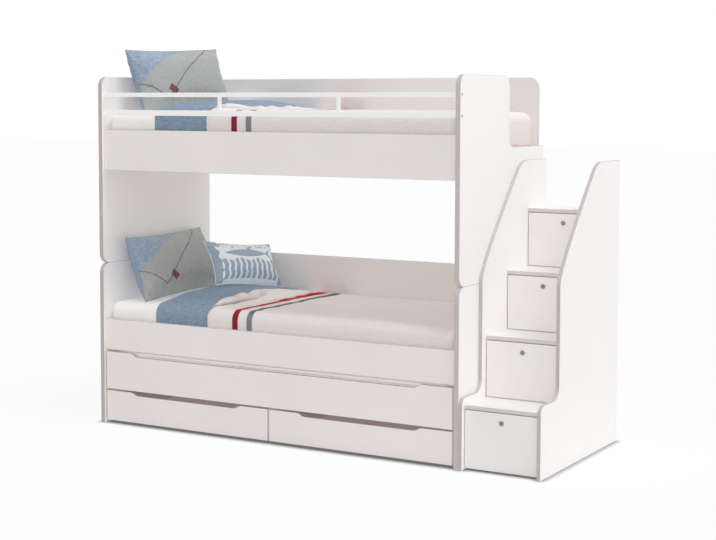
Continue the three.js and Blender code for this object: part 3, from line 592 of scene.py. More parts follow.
def ticking_material(name, quilted):
    """White mattress cloth: a smooth fitted sheet, or the quilted cover of the guest mattress."""
    material, tree, surface, at = new_material(name, 0.86, Sheen_Weight=0.15, Sheen_Roughness=0.5)
    weave = use(tree, WEAVE, {"Flat": at["Object"], "Threads": 700.0})
    folds = use(tree, CREASES, {"Flat": at["Object"], "Stretch": (1.5, 0.7, 1.5), "Scale": 5.5})
    tone = blend_colour(tree, weave["Thread"], shaded(SHEET_WHITE, 0.965), SHEET_WHITE)
    # Shade painted into the hollows between the creases
    shade = tinted(tree, folds["Painted Shade"], 0.1, tone, SHEET_SHADE)
    painted(tree, surface, shade, weave["Thread"], 0.1, 0.8)
    depth = FOLDS_QUILTED if quilted else FOLDS_FLAT
    cloth_relief(tree, surface, folds, depth, weave, 0.00015, 0.4)
    return material


TWILL = {"Threads": 520.0, "Slope": 0.5}


def denim_material(name, flat_map, light=DENIM_LIGHT, dark=DENIM_BLUE):
    """Heathered blue twill, faded in slow patches."""
    material, tree, surface, _, yarn, weave, folds = new_cloth_material(
        name, flat_map, roughness=0.9, sheen=0.05, streaks=130.0, weave=TWILL,
        folds={"Stretch": (1.3, 0.8, 1.0), "Scale": 7.0}, Specular_IOR_Level=0.15)
    mixed = blend_colour(tree, yarn["Yarn"], dark, light)
    faded = tinted(tree, yarn["Fade"], 0.28, mixed, light)
    # Shade painted into the hollows between the creases
    shade = tinted(tree, folds["Painted Shade"], 0.16, faded, shaded(dark, 0.6))
    painted(tree, surface, shade, yarn["Yarn"], 0.14, 0.8)
    cloth_relief(tree, surface, folds, 0.002, weave, 0.0003)
    return material


def plain_cloth_material(name, colour, flat_map="UV", threads=640.0, fold=0.0012):
    """Plain woven cloth of one colour, lightly heathered."""
    material, tree, surface, _, yarn, weave, folds = new_cloth_material(
        name, flat_map, roughness=0.88, sheen=0.15, streaks=210.0, weave={"Threads": threads},
        folds={"Scale": 8.0})
    mixed = blend_colour(tree, yarn["Yarn"], shaded(colour, 0.86), shaded(colour, 1.07))
    # Shade painted into the hollows between the creases
    shade = tinted(tree, folds["Painted Shade"], 0.12, mixed, shaded(colour, 0.6))
    painted(tree, surface, shade, weave["Thread"], 0.12, 0.8)
    cloth_relief(tree, surface, folds, fold, weave)
    return material


# Places along the coverlet's flat map, in metres from the left end panel, and the stripes' spread
RED_STRIPE = (0.812, 0.846)
GREY_STRIPE = (0.898, 0.931)
STRIPE_SPREAD = 0.022
HEM_STITCHES = 0.678


def cover_material():
    """The coverlet: off-white, with a red and a grey stripe woven in near its turned hem."""
    material, tree, surface, at, yarn, weave, folds = new_cloth_material(
        "coverlet_cloth", "UV", roughness=0.88, sheen=0.03, streaks=170.0,
        weave={"Threads": 560.0}, folds={"Stretch": (0.45, 1.6, 1.0), "Scale": 4.5},
        Specular_IOR_Level=0.15)
    flat = at["UV"]
    along = parts_of(tree, flat)
    slow = noise_at(tree, stretched(tree, flat, (0.3, 1.0, 1.0)), 7.5, 1.0)
    waver = maths(tree, "SUBTRACT", slow, 0.5)
    inner = soft_step(tree, along["Y"], 0.16, 0.3)
    shifted = maths(tree, "MULTIPLY_ADD", maths(tree, "MULTIPLY", waver, inner), 0.034, along["X"])
    stripe = {"Place": shifted, "Flat": flat}
    spread = maths(tree, "MULTIPLY", soft_step(tree, along["Y"], 0.55, 1.0), STRIPE_SPREAD)
    red = use(tree, STRIPE, {**stripe, "Start": maths(tree, "SUBTRACT", RED_STRIPE[0], spread),
                             "End": maths(tree, "ADD", RED_STRIPE[1], spread)})["Mask"]
    grey = use(tree, STRIPE, {**stripe, "Start": GREY_STRIPE[0],
                              "End": maths(tree, "ADD", GREY_STRIPE[1], spread)})["Mask"]
    hem = use(tree, STITCHES, {"Across": along["X"], "Along": along["Y"], "Line": HEM_STITCHES})
    plain = blend_colour(tree, yarn["Yarn"], shaded(COVER_WHITE, 0.95), shaded(COVER_WHITE, 1.03))
    # Shade painted into the hollows between the creases
    shade = tinted(tree, folds["Painted Shade"], 0.08, plain, shaded(COVER_WHITE, 0.75))
    # Where the cloth hangs down and faces the front, the stripes take lit and shaded copies of
    # their colours: painted shade darkens the red, and the grey turns paler
    painted_light_facing = soft_step(tree, parts_of(tree, at["Normal"])["Y"], -0.45, -0.85)
    red_with_painted_shade = blend_colour(tree, painted_light_facing, STRIPE_RED, STRIPE_RED_PAINTED_SHADE)
    reddened = blend_colour(tree, red, shade, red_with_painted_shade)
    grey_with_painted_light = blend_colour(tree, painted_light_facing, STRIPE_TEAL, STRIPE_GREY)
    greyed = blend_colour(tree, grey, reddened, grey_with_painted_light)
    # Shade painted into the dent along the hem's row of stitches
    dented = tinted(tree, hem["Dent"], 0.2, greyed, HEM_DENT_SHADE)
    # Shade painted along the coverlet's creases, under its ridge and between the waves of its lip,
    # read from the fold_shade attribute
    folded = put(tree, "ShaderNodeAttribute", attribute_name="fold_shade").outputs["Fac"]
    creased = tinted(tree, folded, 0.85, dented, PAINTED_CREASE_SHADE)
    painted(tree, surface, creased, weave["Thread"], 0.12, 0.8)
    large = bump(tree, surface, folds["Height"], 0.0022, 0.5)
    raised = maths(tree, "MULTIPLY_ADD", hem["Dent"], -1.4, weave["Height"])
    bump(tree, surface, maths(tree, "MAXIMUM", raised, hem["Thread"]), 0.0005, 0.5, large)
    return material


# The small cushion's print, in metres on its flat map
FISH_MIDDLE = (0.205, 0.168)
FISH_HALF_LENGTH, FISH_HALF_HEIGHT = 0.142, 0.025
FISH_TAIL, FISH_FIN_TOP = 0.332, 0.219
WEED_BEND, WEED_PITCH, WEED_TOP, TIPS_PITCH = 0.055, 0.036, 0.128, 0.12
DOTS_FROM = 0.206
PRINT_MIDDLE, PRINT_HALF = 0.217, 0.184


def fish_mask(tree, x, y):
    """A plain fish: a spindle body with a fin on top and a forked tail."""
    along = maths(tree, "DIVIDE", maths(tree, "SUBTRACT", x, FISH_MIDDLE[0]), FISH_HALF_LENGTH)
    body = maths(tree, "MULTIPLY_ADD", maths(tree, "MULTIPLY", along, along), -FISH_HALF_HEIGHT,
                 FISH_HALF_HEIGHT)
    away = maths(tree, "ABSOLUTE", maths(tree, "SUBTRACT", y, FISH_MIDDLE[1]))
    spindle = soft_step(tree, maths(tree, "SUBTRACT", body, away), -0.0005, 0.0008)
    lean = maths(tree, "MULTIPLY_ADD", y, -0.5, maths(tree, "ADD", x, -0.127))
    above = maths(tree, "SUBTRACT", FISH_FIN_TOP, y)
    fin = maths(tree, "MULTIPLY_ADD", maths(tree, "ABSOLUTE", lean), -1.6, above)
    fin = maths(tree, "MULTIPLY", soft_step(tree, fin, 0.0, 0.001), soft_step(tree, y, 0.17, 0.172))
    back = maths(tree, "SUBTRACT", x, FISH_TAIL)
    spread = maths(tree, "MULTIPLY_ADD", back, 0.75, maths(tree, "MULTIPLY", away, -1.0))
    fork = maths(tree, "MULTIPLY_ADD", back, -1.5, maths(tree, "ADD", away, 0.04))
    tail = maths(tree, "MULTIPLY", soft_step(tree, spread, 0.0, 0.001),
                 soft_step(tree, fork, 0.0, 0.001))
    return maths(tree, "MAXIMUM", spindle, maths(tree, "MAXIMUM", fin, tail))


def printed_material():
    """The small cushion: pale blue cloth printed with a fish between dots and waving weed."""
    material, tree, surface, at, yarn, weave, folds = new_cloth_material(
        "wave_print_cloth", "UV", roughness=0.88, sheen=0.15, streaks=180.0,
        weave={"Threads": 620.0}, folds={"Scale": 9.0})
    flat = at["UV"]
    along = parts_of(tree, flat)
    fish = fish_mask(tree, along["X"], along["Y"])
    bend = maths(tree, "SINE", maths(tree, "MULTIPLY", along["Y"], math.tau / WEED_BEND))
    bent = maths(tree, "MULTIPLY_ADD", bend, 0.003, along["X"])
    strand = maths(tree, "FRACT", maths(tree, "DIVIDE", bent, WEED_PITCH))
    weed = maths(tree, "MULTIPLY", soft_step(tree, strand, 0.14, 0.2),
                 soft_step(tree, strand, 0.84, 0.78))
    tips = maths(tree, "SINE", maths(tree, "MULTIPLY", along["X"], math.tau / TIPS_PITCH))
    top = maths(tree, "MULTIPLY_ADD", tips, 0.008, WEED_TOP)
    low = soft_step(tree, maths(tree, "SUBTRACT", along["Y"], top), 0.002, -0.001)
    foot = soft_step(tree, along["Y"], 0.014, 0.017)
    weed = maths(tree, "MULTIPLY", weed, maths(tree, "MULTIPLY", low, foot))
    spot = put(tree, "ShaderNodeTexVoronoi", {"Vector": flat, "Scale": 34.0, "Randomness": 0.5})
    dots = maths(tree, "MULTIPLY", soft_step(tree, spot.outputs["Distance"], 0.42, 0.36),
                 soft_step(tree, along["Y"], DOTS_FROM, DOTS_FROM + 0.004))
    aside = maths(tree, "ABSOLUTE", maths(tree, "SUBTRACT", along["X"], PRINT_MIDDLE))
    border = soft_step(tree, maths(tree, "MULTIPLY_ADD", bend, 0.006, aside), PRINT_HALF,
                       PRINT_HALF + 0.003)
    dots = maths(tree, "MAXIMUM", maths(tree, "MAXIMUM", dots, border), fish)
    wave = maths(tree, "MAXIMUM", weed, dots)
    worn = soft_step(tree, noise_at(tree, flat, 150.0, 5.0, 0.75), 0.36, 0.46)
    ink = maths(tree, "MULTIPLY", wave, maths(tree, "MULTIPLY_ADD", worn, 0.75, 0.25))
    ground = blend_colour(tree, yarn["Yarn"], shaded(PRINT_WHITE, 0.9), PRINT_WHITE)
    printed = tinted(tree, ink, 0.88, ground, PRINT_BLUE)
    painted(tree, surface, printed, ink, -0.12, 0.88)
    cloth_relief(tree, surface, folds, 0.0016, weave)
    return material


def pillow_front_material(boundary):
    """Grey cloth with the blue corner of the pillow's own case above the curved border."""
    material, tree, surface, at, yarn, weave, folds = new_cloth_material(
        "pillow_front_cloth", "UV", roughness=0.9, sheen=0.18, streaks=130.0, weave=TWILL,
        folds={"Scale": 7.0})
    away = put(tree, "ShaderNodeVectorMath", {0: at["UV"], 1: (*boundary["centre"], 0)},
               operation="DISTANCE").outputs["Value"]
    blue = soft_step(tree, away, boundary["radius"], boundary["radius"] + 0.0015)
    denim = blend_colour(tree, yarn["Yarn"], DENIM_BLUE, DENIM_LIGHT)
    grey = blend_colour(tree, yarn["Yarn"], shaded(FLAP_GREY, 0.88), shaded(FLAP_GREY, 1.08))
    mixed = blend_colour(tree, blue, grey, denim)
    painted(tree, surface, mixed, yarn["Yarn"], 0.14, 0.8)
    cloth_relief(tree, surface, folds, 0.0018, weave, 0.0003)
    return material


def label_material():
    """Ribbed red ribbon with plain crossing bands."""
    material, tree, surface, at = new_material("woven_label", 0.7)
    flat = parts_of(tree, at["UV"])
    ribs = maths(tree, "SINE", maths(tree, "MULTIPLY", flat["Y"], math.tau * 900))
    turned = maths(tree, "MULTIPLY_ADD", flat["Y"], 0.8, flat["X"])
    band = soft_step(tree, maths(tree, "SINE", maths(tree, "MULTIPLY", turned, 300.0)), 0.35, 0.7)
    cloth = blend_colour(tree, maths(tree, "MULTIPLY_ADD", ribs, 0.2, 0.5), *LABEL_REDS)
    feed(tree, surface["Base Color"], tinted(tree, band, 0.5, cloth, LABEL_BAND))
    bump(tree, surface, ribs, 0.0002, 0.6)
    return material


def white_for_the_view(tree, lit, kind, colour=(1, 1, 1), share=1.0):
    """Shows plain white to the camera and in reflections, and only the lit shader to the rest."""
    ray = tree.nodes.new("ShaderNodeLightPath").outputs
    seen = maths(tree, "MAXIMUM", ray["Is Camera Ray"], ray["Is Glossy Ray"])
    seen = maths(tree, "MAXIMUM", seen, ray["Is Transmission Ray"])
    white = put(tree, kind, {0: colour, "Strength": 1.0})
    factor = maths(tree, "MULTIPLY", seen, share)
    return put(tree, "ShaderNodeMixShader", {0: factor, 1: lit, 2: white})


FLOOR_SHARE = 0.9
FLOOR_HALF = 45
NEAR_SHADE, WIDE_SHADE = 0.04, 0.3
WORLD_LIGHT = 0.37
# Soft studio lights: name, direction, strength, softness in degrees, colour, and whether it casts
# shadows. The last three lift the insides of the bed, as the many lamps of a photo studio do.
LIGHTS = (
    ("key_light", (0.50, -0.05, 0.86), 1.0, 22, (1, 1, 1), True),
    ("front_light", (0.60, -0.75, 0.28), 0.40, 60, (1, 0.96, 0.95), True),
    ("back_light", (0.50, 0.60, 0.60), 0.35, 50, (1, 1, 1), True),
    ("fill_from_right", (1, 0, 0), 0.48, 5, (1, 0.99, 0.985), False),
    ("fill_from_front", (0, -1, 0), 0.41, 5, (1, 0.94, 0.93), False),
    ("fill_from_above", (0, 0, 1), 0.88, 5, (1, 1, 1.04), False),
)


def make_floor():
    """A plain pale floor that keeps the soft shadow under and beside the bed."""
    mesh = bpy.data.meshes.new("floor")
    shape = bmesh.new()
    bmesh.ops.create_grid(shape, x_segments=1, y_segments=1, size=FLOOR_HALF)
    shape.to_mesh(mesh)
    shape.free()
    floor = bpy.data.objects.new("floor", mesh)
    bpy.context.collection.objects.link(floor)
    material, tree, surface, at = new_material("studio_floor", 0.9)
    slow = noise_at(tree, at["Object"], 0.6, 2.0)
    feed(tree, surface["Base Color"], blend_colour(tree, slow, *FLOOR_GREYS))
    lit = tree.nodes["Principled BSDF"].outputs[0]
    tree.nodes["Principled BSDF"].inputs["Specular IOR Level"].default_value = 0.0
    near, wide = (
        put(tree, "ShaderNodeAmbientOcclusion", {"Distance": reach}, samples=12).outputs["AO"]
        for reach in (NEAR_SHADE, WIDE_SHADE))
    beside = maths(tree, "POWER", near, 1.8)
    under = soft_step(tree, wide, 0.12, 0.5)
    shade = blend_colour(tree, maths(tree, "MULTIPLY", beside, under), FLOOR_SHADE, (1, 1, 1))
    shown = white_for_the_view(tree, lit, "ShaderNodeEmission", shade, FLOOR_SHARE)
    tree.links.new(shown.outputs[0], tree.nodes["Material Output"].inputs["Surface"])
    mesh.materials.append(material)


def make_world():
    world = bpy.data.worlds.new("studio")
    world.use_nodes = True
    tree = world.node_tree
    tree.nodes["Background"].inputs["Color"].default_value = (1, 1, 1, 1)
    tree.nodes["Background"].inputs["Strength"].default_value = WORLD_LIGHT
    shown = white_for_the_view(tree, tree.nodes["Background"].outputs[0], "ShaderNodeBackground")
    tree.links.new(shown.outputs[0], tree.nodes["World Output"].inputs["Surface"])
    bpy.context.scene.world = world


# Helpers that turn a shape into a finished piece

def finish_piece(name, shape, materials, body="bunk_bed", smoothed=True):
    """Makes the bmesh a piece that rides on a body, with its place already in its mesh."""
    mesh = bpy.data.meshes.new(name)
    shape.normal_update()
    shape.to_mesh(mesh)
    shape.free()
    for material in materials:
        mesh.materials.append(material)
    if smoothed:
        mesh.polygons.foreach_set("use_smooth", [True] * len(mesh.polygons))
    piece = bpy.data.objects.new(name, mesh)
    bpy.context.collection.objects.link(piece)
    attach(piece, body)
    return piece


def subdivided(piece):
    modifier = piece.modifiers.new("smooth", "SUBSURF")
    modifier.levels = 1
    modifier.render_levels = 1


def thickened(piece, thickness):
    """Gives a cloth its thickness, half to each side."""
    modifier = piece.modifiers.new("thickness", "SOLIDIFY")
    modifier.thickness = thickness * MM
    modifier.offset = 0.0


def tube(name, points, radius, material, closed=False, body="bunk_bed"):
    """A thin round piping that follows the points, made from a curve and kept as a mesh."""
    curve = bpy.data.curves.new(name, "CURVE")
    curve.dimensions = "3D"
    curve.bevel_depth = radius * MM
    curve.bevel_resolution = 2
    curve.use_fill_caps = True
    line = curve.splines.new("POLY")
    line.points.add(len(points) - 1)
    for spot, point in zip(line.points, points):
        spot.co = (*point, 1)
    line.use_cyclic_u = closed
    helper = bpy.data.objects.new(name + "_route", curve)
    bpy.context.collection.objects.link(helper)
    shape = bmesh.new()
    shape.from_mesh(helper.to_mesh())
    helper.to_mesh_clear()
    bpy.data.objects.remove(helper)
    bmesh.ops.remove_doubles(shape, verts=shape.verts, dist=1e-6)
    return finish_piece(name, shape, [material], body)


def new_cloth():
    """An empty shape with room for a cloth's own flat map."""
    shape = bmesh.new()
    shape.loops.layers.uv.new("UVMap")
    return shape


def cloth_grid(shape, cells):
    """A flat grid about the origin, one unit wide and high; gives its vertices."""
    made = bmesh.ops.create_grid(shape, x_segments=cells[0], y_segments=cells[1], size=0.5,
                                 calc_uvs=True)
    return made["verts"]


def flat_map(shape, rule):
    """Writes the cloth's own flat map, in metres, from a rule that gives a vertex's flat place."""
    layer = shape.loops.layers.uv.verify()
    for face in shape.faces:
        for loop in face.loops:
            loop[layer].uv = rule(loop.vert)


def cloth_area(shape):
    return sum(face.calc_area() for face in shape.faces)


# The mattresses

def soft_block(low, high, corner, edge, cells):
    """A foam block with round corners and soft edges, cut into cells so that it can be shaped."""
    shape = bmesh.new()
    bmesh.ops.create_cube(shape, size=1)
    size = [h - l for l, h in zip(low, high)]
    middle = [(l + h) / 2 for l, h in zip(low, high)]
    bmesh.ops.scale(shape, vec=size, verts=shape.verts)
    bmesh.ops.translate(shape, vec=middle, verts=shape.verts)
    upright = [e for e in shape.edges if abs(e.verts[0].co.z - e.verts[1].co.z) > 1]
    bmesh.ops.bevel(shape, geom=upright, offset=corner, offset_type="OFFSET", affect="EDGES",
                    segments=7, profile=0.5, material=-1)
    rims = [e for e in shape.edges if abs(e.verts[0].co.z - e.verts[1].co.z) < 0.01
            and len(e.link_faces) == 2 and any(abs(f.normal.z) > 0.9 for f in e.link_faces)
            and any(abs(f.normal.z) < 0.1 for f in e.link_faces)]
    bmesh.ops.bevel(shape, geom=rims, offset=edge, offset_type="OFFSET", affect="EDGES",
                    segments=6, profile=0.5, material=-1)
    for axis, count in enumerate(cells):
        for i in range(1, count):
            spot = [0, 0, 0]
            spot[axis] = low[axis] + size[axis] * i / count
            normal = [0, 0, 0]
            normal[axis] = 1
            bmesh.ops.bisect_plane(shape, geom=[*shape.verts, *shape.edges, *shape.faces],
                                   dist=1e-4, plane_co=spot, plane_no=normal)
    return shape


def to_row_frame(shape):
    """Takes a shape from millimetres on the bed to metres in the row frame."""
    bmesh.ops.scale(shape, vec=(MM, MM, MM), verts=shape.verts)
    bmesh.ops.translate(shape, vec=CORNER, verts=shape.verts)


def foot_sag(x):
    """The sleeping mattresses and their bedding sink a little towards the foot end."""
    return FOOT_SAG * smooth((x - SAG_START) / SAG_LENGTH)


def mattress_shape(low, high, corner, edge, quilt=0.0):
    """A mattress with a slight dome and ripple; a quilt depth gives it stitched hollows."""
    shape = soft_block(low, high, corner, edge, GUEST_CELLS if quilt else MATTRESS_CELLS)
    middle = [(l + h) / 2 for l, h in zip(low, high)]
    half = [(h - l) / 2 for l, h in zip(low, high)]
    shape.normal_update()
    for vert in shape.verts:
        across = [(vert.co[i] - middle[i]) / half[i] for i in range(3)]
        dome = max(0, 1 - across[0] ** 4) * max(0, 1 - across[1] ** 4)
        vert.co.z += DOME_RISE * dome * across[2] if across[2] > 0 else 0
        vert.co.z -= 0 if quilt else foot_sag(vert.co.x) * clamp(across[2])
        ripple = noise.noise(Vector([c / pitch for c, pitch in zip(vert.co, RIPPLE_PITCH)]))
        vert.co += vert.normal * ripple * RIPPLE
        if quilt and abs(across[2]) > 0.6:
            lines = math.prod(abs(math.sin(math.pi * vert.co[i] / QUILT_PITCH[i])) for i in (0, 1))
            vert.co.z -= math.copysign(quilt, across[2]) * (1 - min(1, lines * 4)) * dome
    return shape


def make_mattresses(ticking, quilted, trim):
    for level, facts in LEVELS.items():
        low = (MATTRESS_LEFT, MATTRESS_FRONT, facts["top"] - MATTRESS_THICK)
        high = (MATTRESS_RIGHT, MATTRESS_BACK, facts["top"] - TOP_SPARE)
        shape = mattress_shape(low, high, MATTRESS_CORNER, MATTRESS_EDGE)
        to_row_frame(shape)
        mattress = finish_piece(f"{level}_mattress_soft", shape, [ticking])
        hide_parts(f"{level}_mattress")
    lowest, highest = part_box("pullout_mattress")
    low = (Vector(lowest) - CORNER) / MM
    high = (Vector(highest) - CORNER) / MM
    shape = mattress_shape(low, high, GUEST_CORNER, GUEST_EDGE, QUILT_DEPTH)
    to_row_frame(shape)
    mattress = finish_piece("guest_mattress_soft", shape, [quilted], body="pullout_unit")
    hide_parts("pullout_mattress")
    for name, height in (("low", low.z + PIPING_INSET), ("high", high.z - PIPING_INSET)):
        points = rim_points(low, high, GUEST_CORNER, height, PIPING_SUNK)
        tube(f"guest_mattress_piping_{name}", points, PIPING_RADIUS, trim, closed=True,
             body="pullout_unit")


def rim_points(low, high, corner, height, inset):
    """Points round a block with round corners at one height, for a piping."""
    points = []
    centres = [(high[0] - corner, low[1] + corner, -90), (high[0] - corner, high[1] - corner, 0),
               (low[0] + corner, high[1] - corner, 90), (low[0] + corner, low[1] + corner, 180)]
    reach = corner - inset
    for x, y, start in centres:
        for i in range(9):
            turn = math.radians(start + 90 * i / 8)
            points.append(place(x + reach * math.cos(turn), y + reach * math.sin(turn), height))
    return points


# The bedding of each bed: the turned-down blue end and the off-white coverlet

def rise_at(x, y, level):
    """How far the bedding swells above its flat part."""
    across = math.sin(math.pi * clamp((y - MATTRESS_FRONT) / (MATTRESS_BACK - MATTRESS_FRONT)))
    past = clamp((x - FOLD_RIGHT) / RUMPLE[level]["blend"])
    return FOLD_RISE * (1 + math.cos(math.pi * past)) / 2 * across ** 0.75


def over_bed(share, level, inset, lower=0.0):
    """Where a sheet runs at a share of its way from the front hem over the bed to the back hem.

    Gives y, z, the outward direction in y and z, and the length of the whole way. The hem hangs
    lower towards the foot end.
    """
    facts = LEVELS[level]
    top, hem = facts["top"], facts["hem"] + (facts["foot_hem"] - facts["hem"]) * lower
    radius = max(LEAST_ROUND, MATTRESS_EDGE + EDGE_EASE - inset)
    front = RAIL_BACK + BOARD_GAP + inset
    back = BACK_PANEL_FRONT - BOARD_GAP - inset
    crest = top + CREST - inset
    drop = max(1, crest - radius - hem)
    arc = radius * math.pi / 2
    flat = back - front - 2 * radius
    whole = 2 * (drop + arc) + flat
    way = share * whole
    mirrored = way > whole / 2
    if mirrored:
        way = whole - way
    if way < drop:
        y, z, out_y, out_z = front, hem + way, -1.0, 0.0
    elif way < drop + arc:
        turn = (way - drop) / radius
        out_y, out_z = -math.cos(turn), math.sin(turn)
        y, z = front + radius + radius * out_y, crest - radius + radius * out_z
    else:
        y, z, out_y, out_z = front + radius + way - drop - arc, crest, 0.0, 1.0
    if mirrored:
        y, out_y = front + back - y, -out_y
    return y, z, out_y, out_z, whole


# How each coverlet lies: lines as (distance from the front, distance past the fold's front end)
RUMPLE = {
    "lower": {
        "hem": ((43, 0), (85, 7), (260, 9), (350, 24), (530, 28), (600, 36), (800, 60), (930, 56)),
        "crease": ((50, 6), (75, 18), (115, 36), (196, 52), (371, 57), (500, 56), (560, 44)),
        "ridge": ((400, 60), (426, 84), (455, 126), (486, 150), (611, 145), (786, 132), (930, 120)),
        "blend": 110, "lip": 17, "lip_ends": (455, 545), "layer": 7.5, "follow": 0.0, "calm": 760,
    },
    "upper": {
        "hem": ((43, 0), (80, 6), (140, 44), (210, 100), (320, 130), (485, 136), (700, 118),
                (930, 96)),
        "crease": ((50, 6), (80, 14), (140, 80), (210, 156), (320, 190), (485, 196), (930, 150)),
        "ridge": ((400, 190), (600, 250), (930, 220)),
        "blend": 190, "lip": 15, "lip_ends": (560, 800), "layer": 0.0, "follow": 1.0, "calm": 1060,
    },
}


def line_at(line, y):
    """Reads a line at a distance from the front, with soft turns between its points."""
    if y <= line[0][0]:
        return line[0][1]
    for (start, a), (end, b) in zip(line, line[1:]):
        if y <= end:
            return a + (b - a) * smooth((y - start) / (end - start))
    return line[-1][1]


def pleat_at(x, y, level):
    """Height of the coverlet's raised, wavy hem over the blue fold, and the shade in its folds."""
    lies = RUMPLE[level]
    past = x - FOLD_RIGHT
    hem, crease, ridge = (line_at(lies[name], y) for name in ("hem", "crease", "ridge"))
    lip_start, lip_end = lies["lip_ends"]
    before_end = 1 - smooth((y - lip_start) / (lip_end - lip_start))
    # The lip that stands up along the hem, and the dent behind it
    raised = smooth((y - 50) / 90) * before_end
    waves = 0.72 + 0.28 * math.sin(y / 21 + 1.1 * math.sin(y / 55))
    share = clamp((past - hem) / max(6, crease - 7 - hem))
    lip = lies["lip"] * raised * waves * math.sin(math.pi * share ** 0.55) ** 0.8
    dent = 13 * raised * math.exp(-(((past - crease) / 7) ** 2))
    # A second layer of cloth that ends at the ridge
    second = smooth((y - 395) / 70) * (1 - smooth((y - 800) / 110))
    layer = lies["layer"] * second * (1 - smooth((past - ridge + 4) / 7))
    # The soft shade in the crease, under the ridge and between the waves of the lip
    fades = 1 - 0.6 * smooth((y - 220) / 200)
    begins = smooth((y - 38) / 16)
    shade = begins * fades * before_end * math.exp(-(((past - crease + 4.5) / 5) ** 2))
    shade += 0.55 * second * math.exp(-(((past - ridge - 2) / 5) ** 2))
    shade += raised * math.sin(math.pi * share) * (0.08 + 0.35 * (1 - waves))
    return lip - dent + layer, clamp(shade)


def fold_swell(x):
    """How full the fold is at a place along the bed: round from its edge, then full."""
    return math.sqrt(1 - (1 - clamp((x - FOLD_LEFT) / FOLD_ROUND)) ** 2)


def soft_waves(x, y, seed, length, width):
    """Gentle swells of about -1 to 1, as long and as wide as given."""
    return noise.noise(Vector((x / length, y / width, seed)))


def round_the_foot(way):
    """Place along the bed, and how far the section has drawn in, where the cloth turns down."""
    past = way - ROUND_START
    if past <= 0:
        return way, 0
    if past < FOOT_ROUND * math.pi / 2:
        turn = past / FOOT_ROUND
        return ROUND_START + FOOT_ROUND * math.sin(turn), FOOT_ROUND * (1 - math.cos(turn))
    return COVER_RIGHT, FOOT_ROUND + past - FOOT_ROUND * math.pi / 2


def foot_way(level):
    """Length of cloth from where it starts to turn down at the foot end to its hem there."""
    facts = LEVELS[level]
    drop = facts["top"] + CREST - facts["foot_hem"] - 4
    return FOOT_ROUND * math.pi / 2 + drop - FOOT_ROUND


def cover_shape(level, seed):
    """The coverlet, from its rumpled hem over the fold to its hem down the foot end."""
    shape = new_cloth()
    cloth_grid(shape, COVER_CELLS)
    flat = {}
    lies = RUMPLE[level]
    whole_way = over_bed(0, level, COVER_INSET)[4]
    reach = ROUND_START + foot_way(level)
    # Painted shade for the creases, kept on each vertex for the cloth's colour
    shade = shape.verts.layers.float.new("fold_shade")
    for vert in shape.verts:
        u, w = vert.co.x + 0.5, vert.co.y + 0.5
        y = over_bed(w, level, COVER_INSET)[0]
        hem = line_at(lies["hem"], y)
        start = FOLD_RIGHT + hem
        along = (reach - start) * u ** 1.35
        x, tucked = round_the_foot(start + along)
        lower = smooth((x - HEM_DROP_START) / HEM_DROP_LENGTH)
        y, z, out_y, out_z = over_bed(w, level, COVER_INSET + tucked, lower)[:4]
        up = max(0, out_z)
        pleat, dark = pleat_at(x, y, level)
        lifted = rise_at(x, y, level) + pleat
        vert[shade] = dark * smooth(up * 2)
        gentle = 2.4 * soft_waves(x, y, seed, 300, 75) + 1.1 * soft_waves(x, y, seed + 7, 90, 40)
        gentle *= smooth((x - lies["calm"]) / 120)
        gentle *= 1 - smooth((x - COVER_RIGHT + 60) / 50)
        edge = 3 * up * soft_waves(0, y, seed + 3, 1, 60) * (1 - smooth((x - start) / 30))
        sag = -1.6 * smooth((y - MATTRESS_BACK + 60) / 60)
        sag -= foot_sag(x) * (1 - smooth(tucked / 150))
        vert.co = (x + edge, y, z + lifted * up + (gentle + sag) * up)
        if out_y < -0.5:
            vert.co.y += 1.0 * soft_waves(x, z, seed + 5, 130, 60)
        flat[vert] = ((start + along - lies["follow"] * hem) * MM, w * whole_way * MM)
    flat_map(shape, flat.get)
    to_row_frame(shape)
    return shape


def fold_shape(level, seed):
    """The turned-down end: a puffed quilt between its two cloths, closed along its borders."""
    shape = new_cloth()
    rims = []
    flat = {}
    for side in ("outer", "inner"):
        verts = cloth_grid(shape, FOLD_CELLS)
        for vert in verts:
            u, w = vert.co.x + 0.5, vert.co.y + 0.5
            end = FOLD_RIGHT + line_at(RUMPLE[level]["hem"], over_bed(w, level, 3)[0])
            x = FOLD_LEFT + (end + FOLD_OVERLAP - FOLD_LEFT) * u ** 1.5
            swell = fold_swell(x)
            tucked = smooth((x - end + 4) / 26)
            inset = INNER_INSET
            if side == "outer":
                inset = OUTER_INSET - OUTER_SWELL * swell + OUTER_TUCK * tucked
            y, z, out_y, out_z, whole = over_bed(w, level, inset)
            up = max(0, out_z)
            if side == "outer":
                crest = rise_at(x, y, level) * swell - 7 * tucked * up
                dimple = 2.6 * soft_waves(x, y, seed, 85, 70)
                dimple += 1.2 * soft_waves(x, y, seed + 4, 32, 40)
                z += (crest + dimple * swell * (1 - tucked)) * up
                y += 1.0 * soft_waves(x, z, seed + 9, 70, 40) * swell if out_y < -0.5 else 0
            vert.co = (x + 5 * up * soft_waves(0, y, seed + 2, 1, 150) * (1 - u), y, z)
            flat[vert] = (x * MM, w * whole * MM)
        faces = {f for v in verts for f in v.link_faces}
        if side == "inner":
            bmesh.ops.reverse_faces(shape, faces=list(faces))
        rims += [e for e in shape.edges if e.is_boundary and e.verts[0] in set(verts)]
    bmesh.ops.bridge_loops(shape, edges=rims)
    flat_map(shape, flat.get)
    to_row_frame(shape)
    bmesh.ops.recalc_face_normals(shape, faces=shape.faces)
    return shape


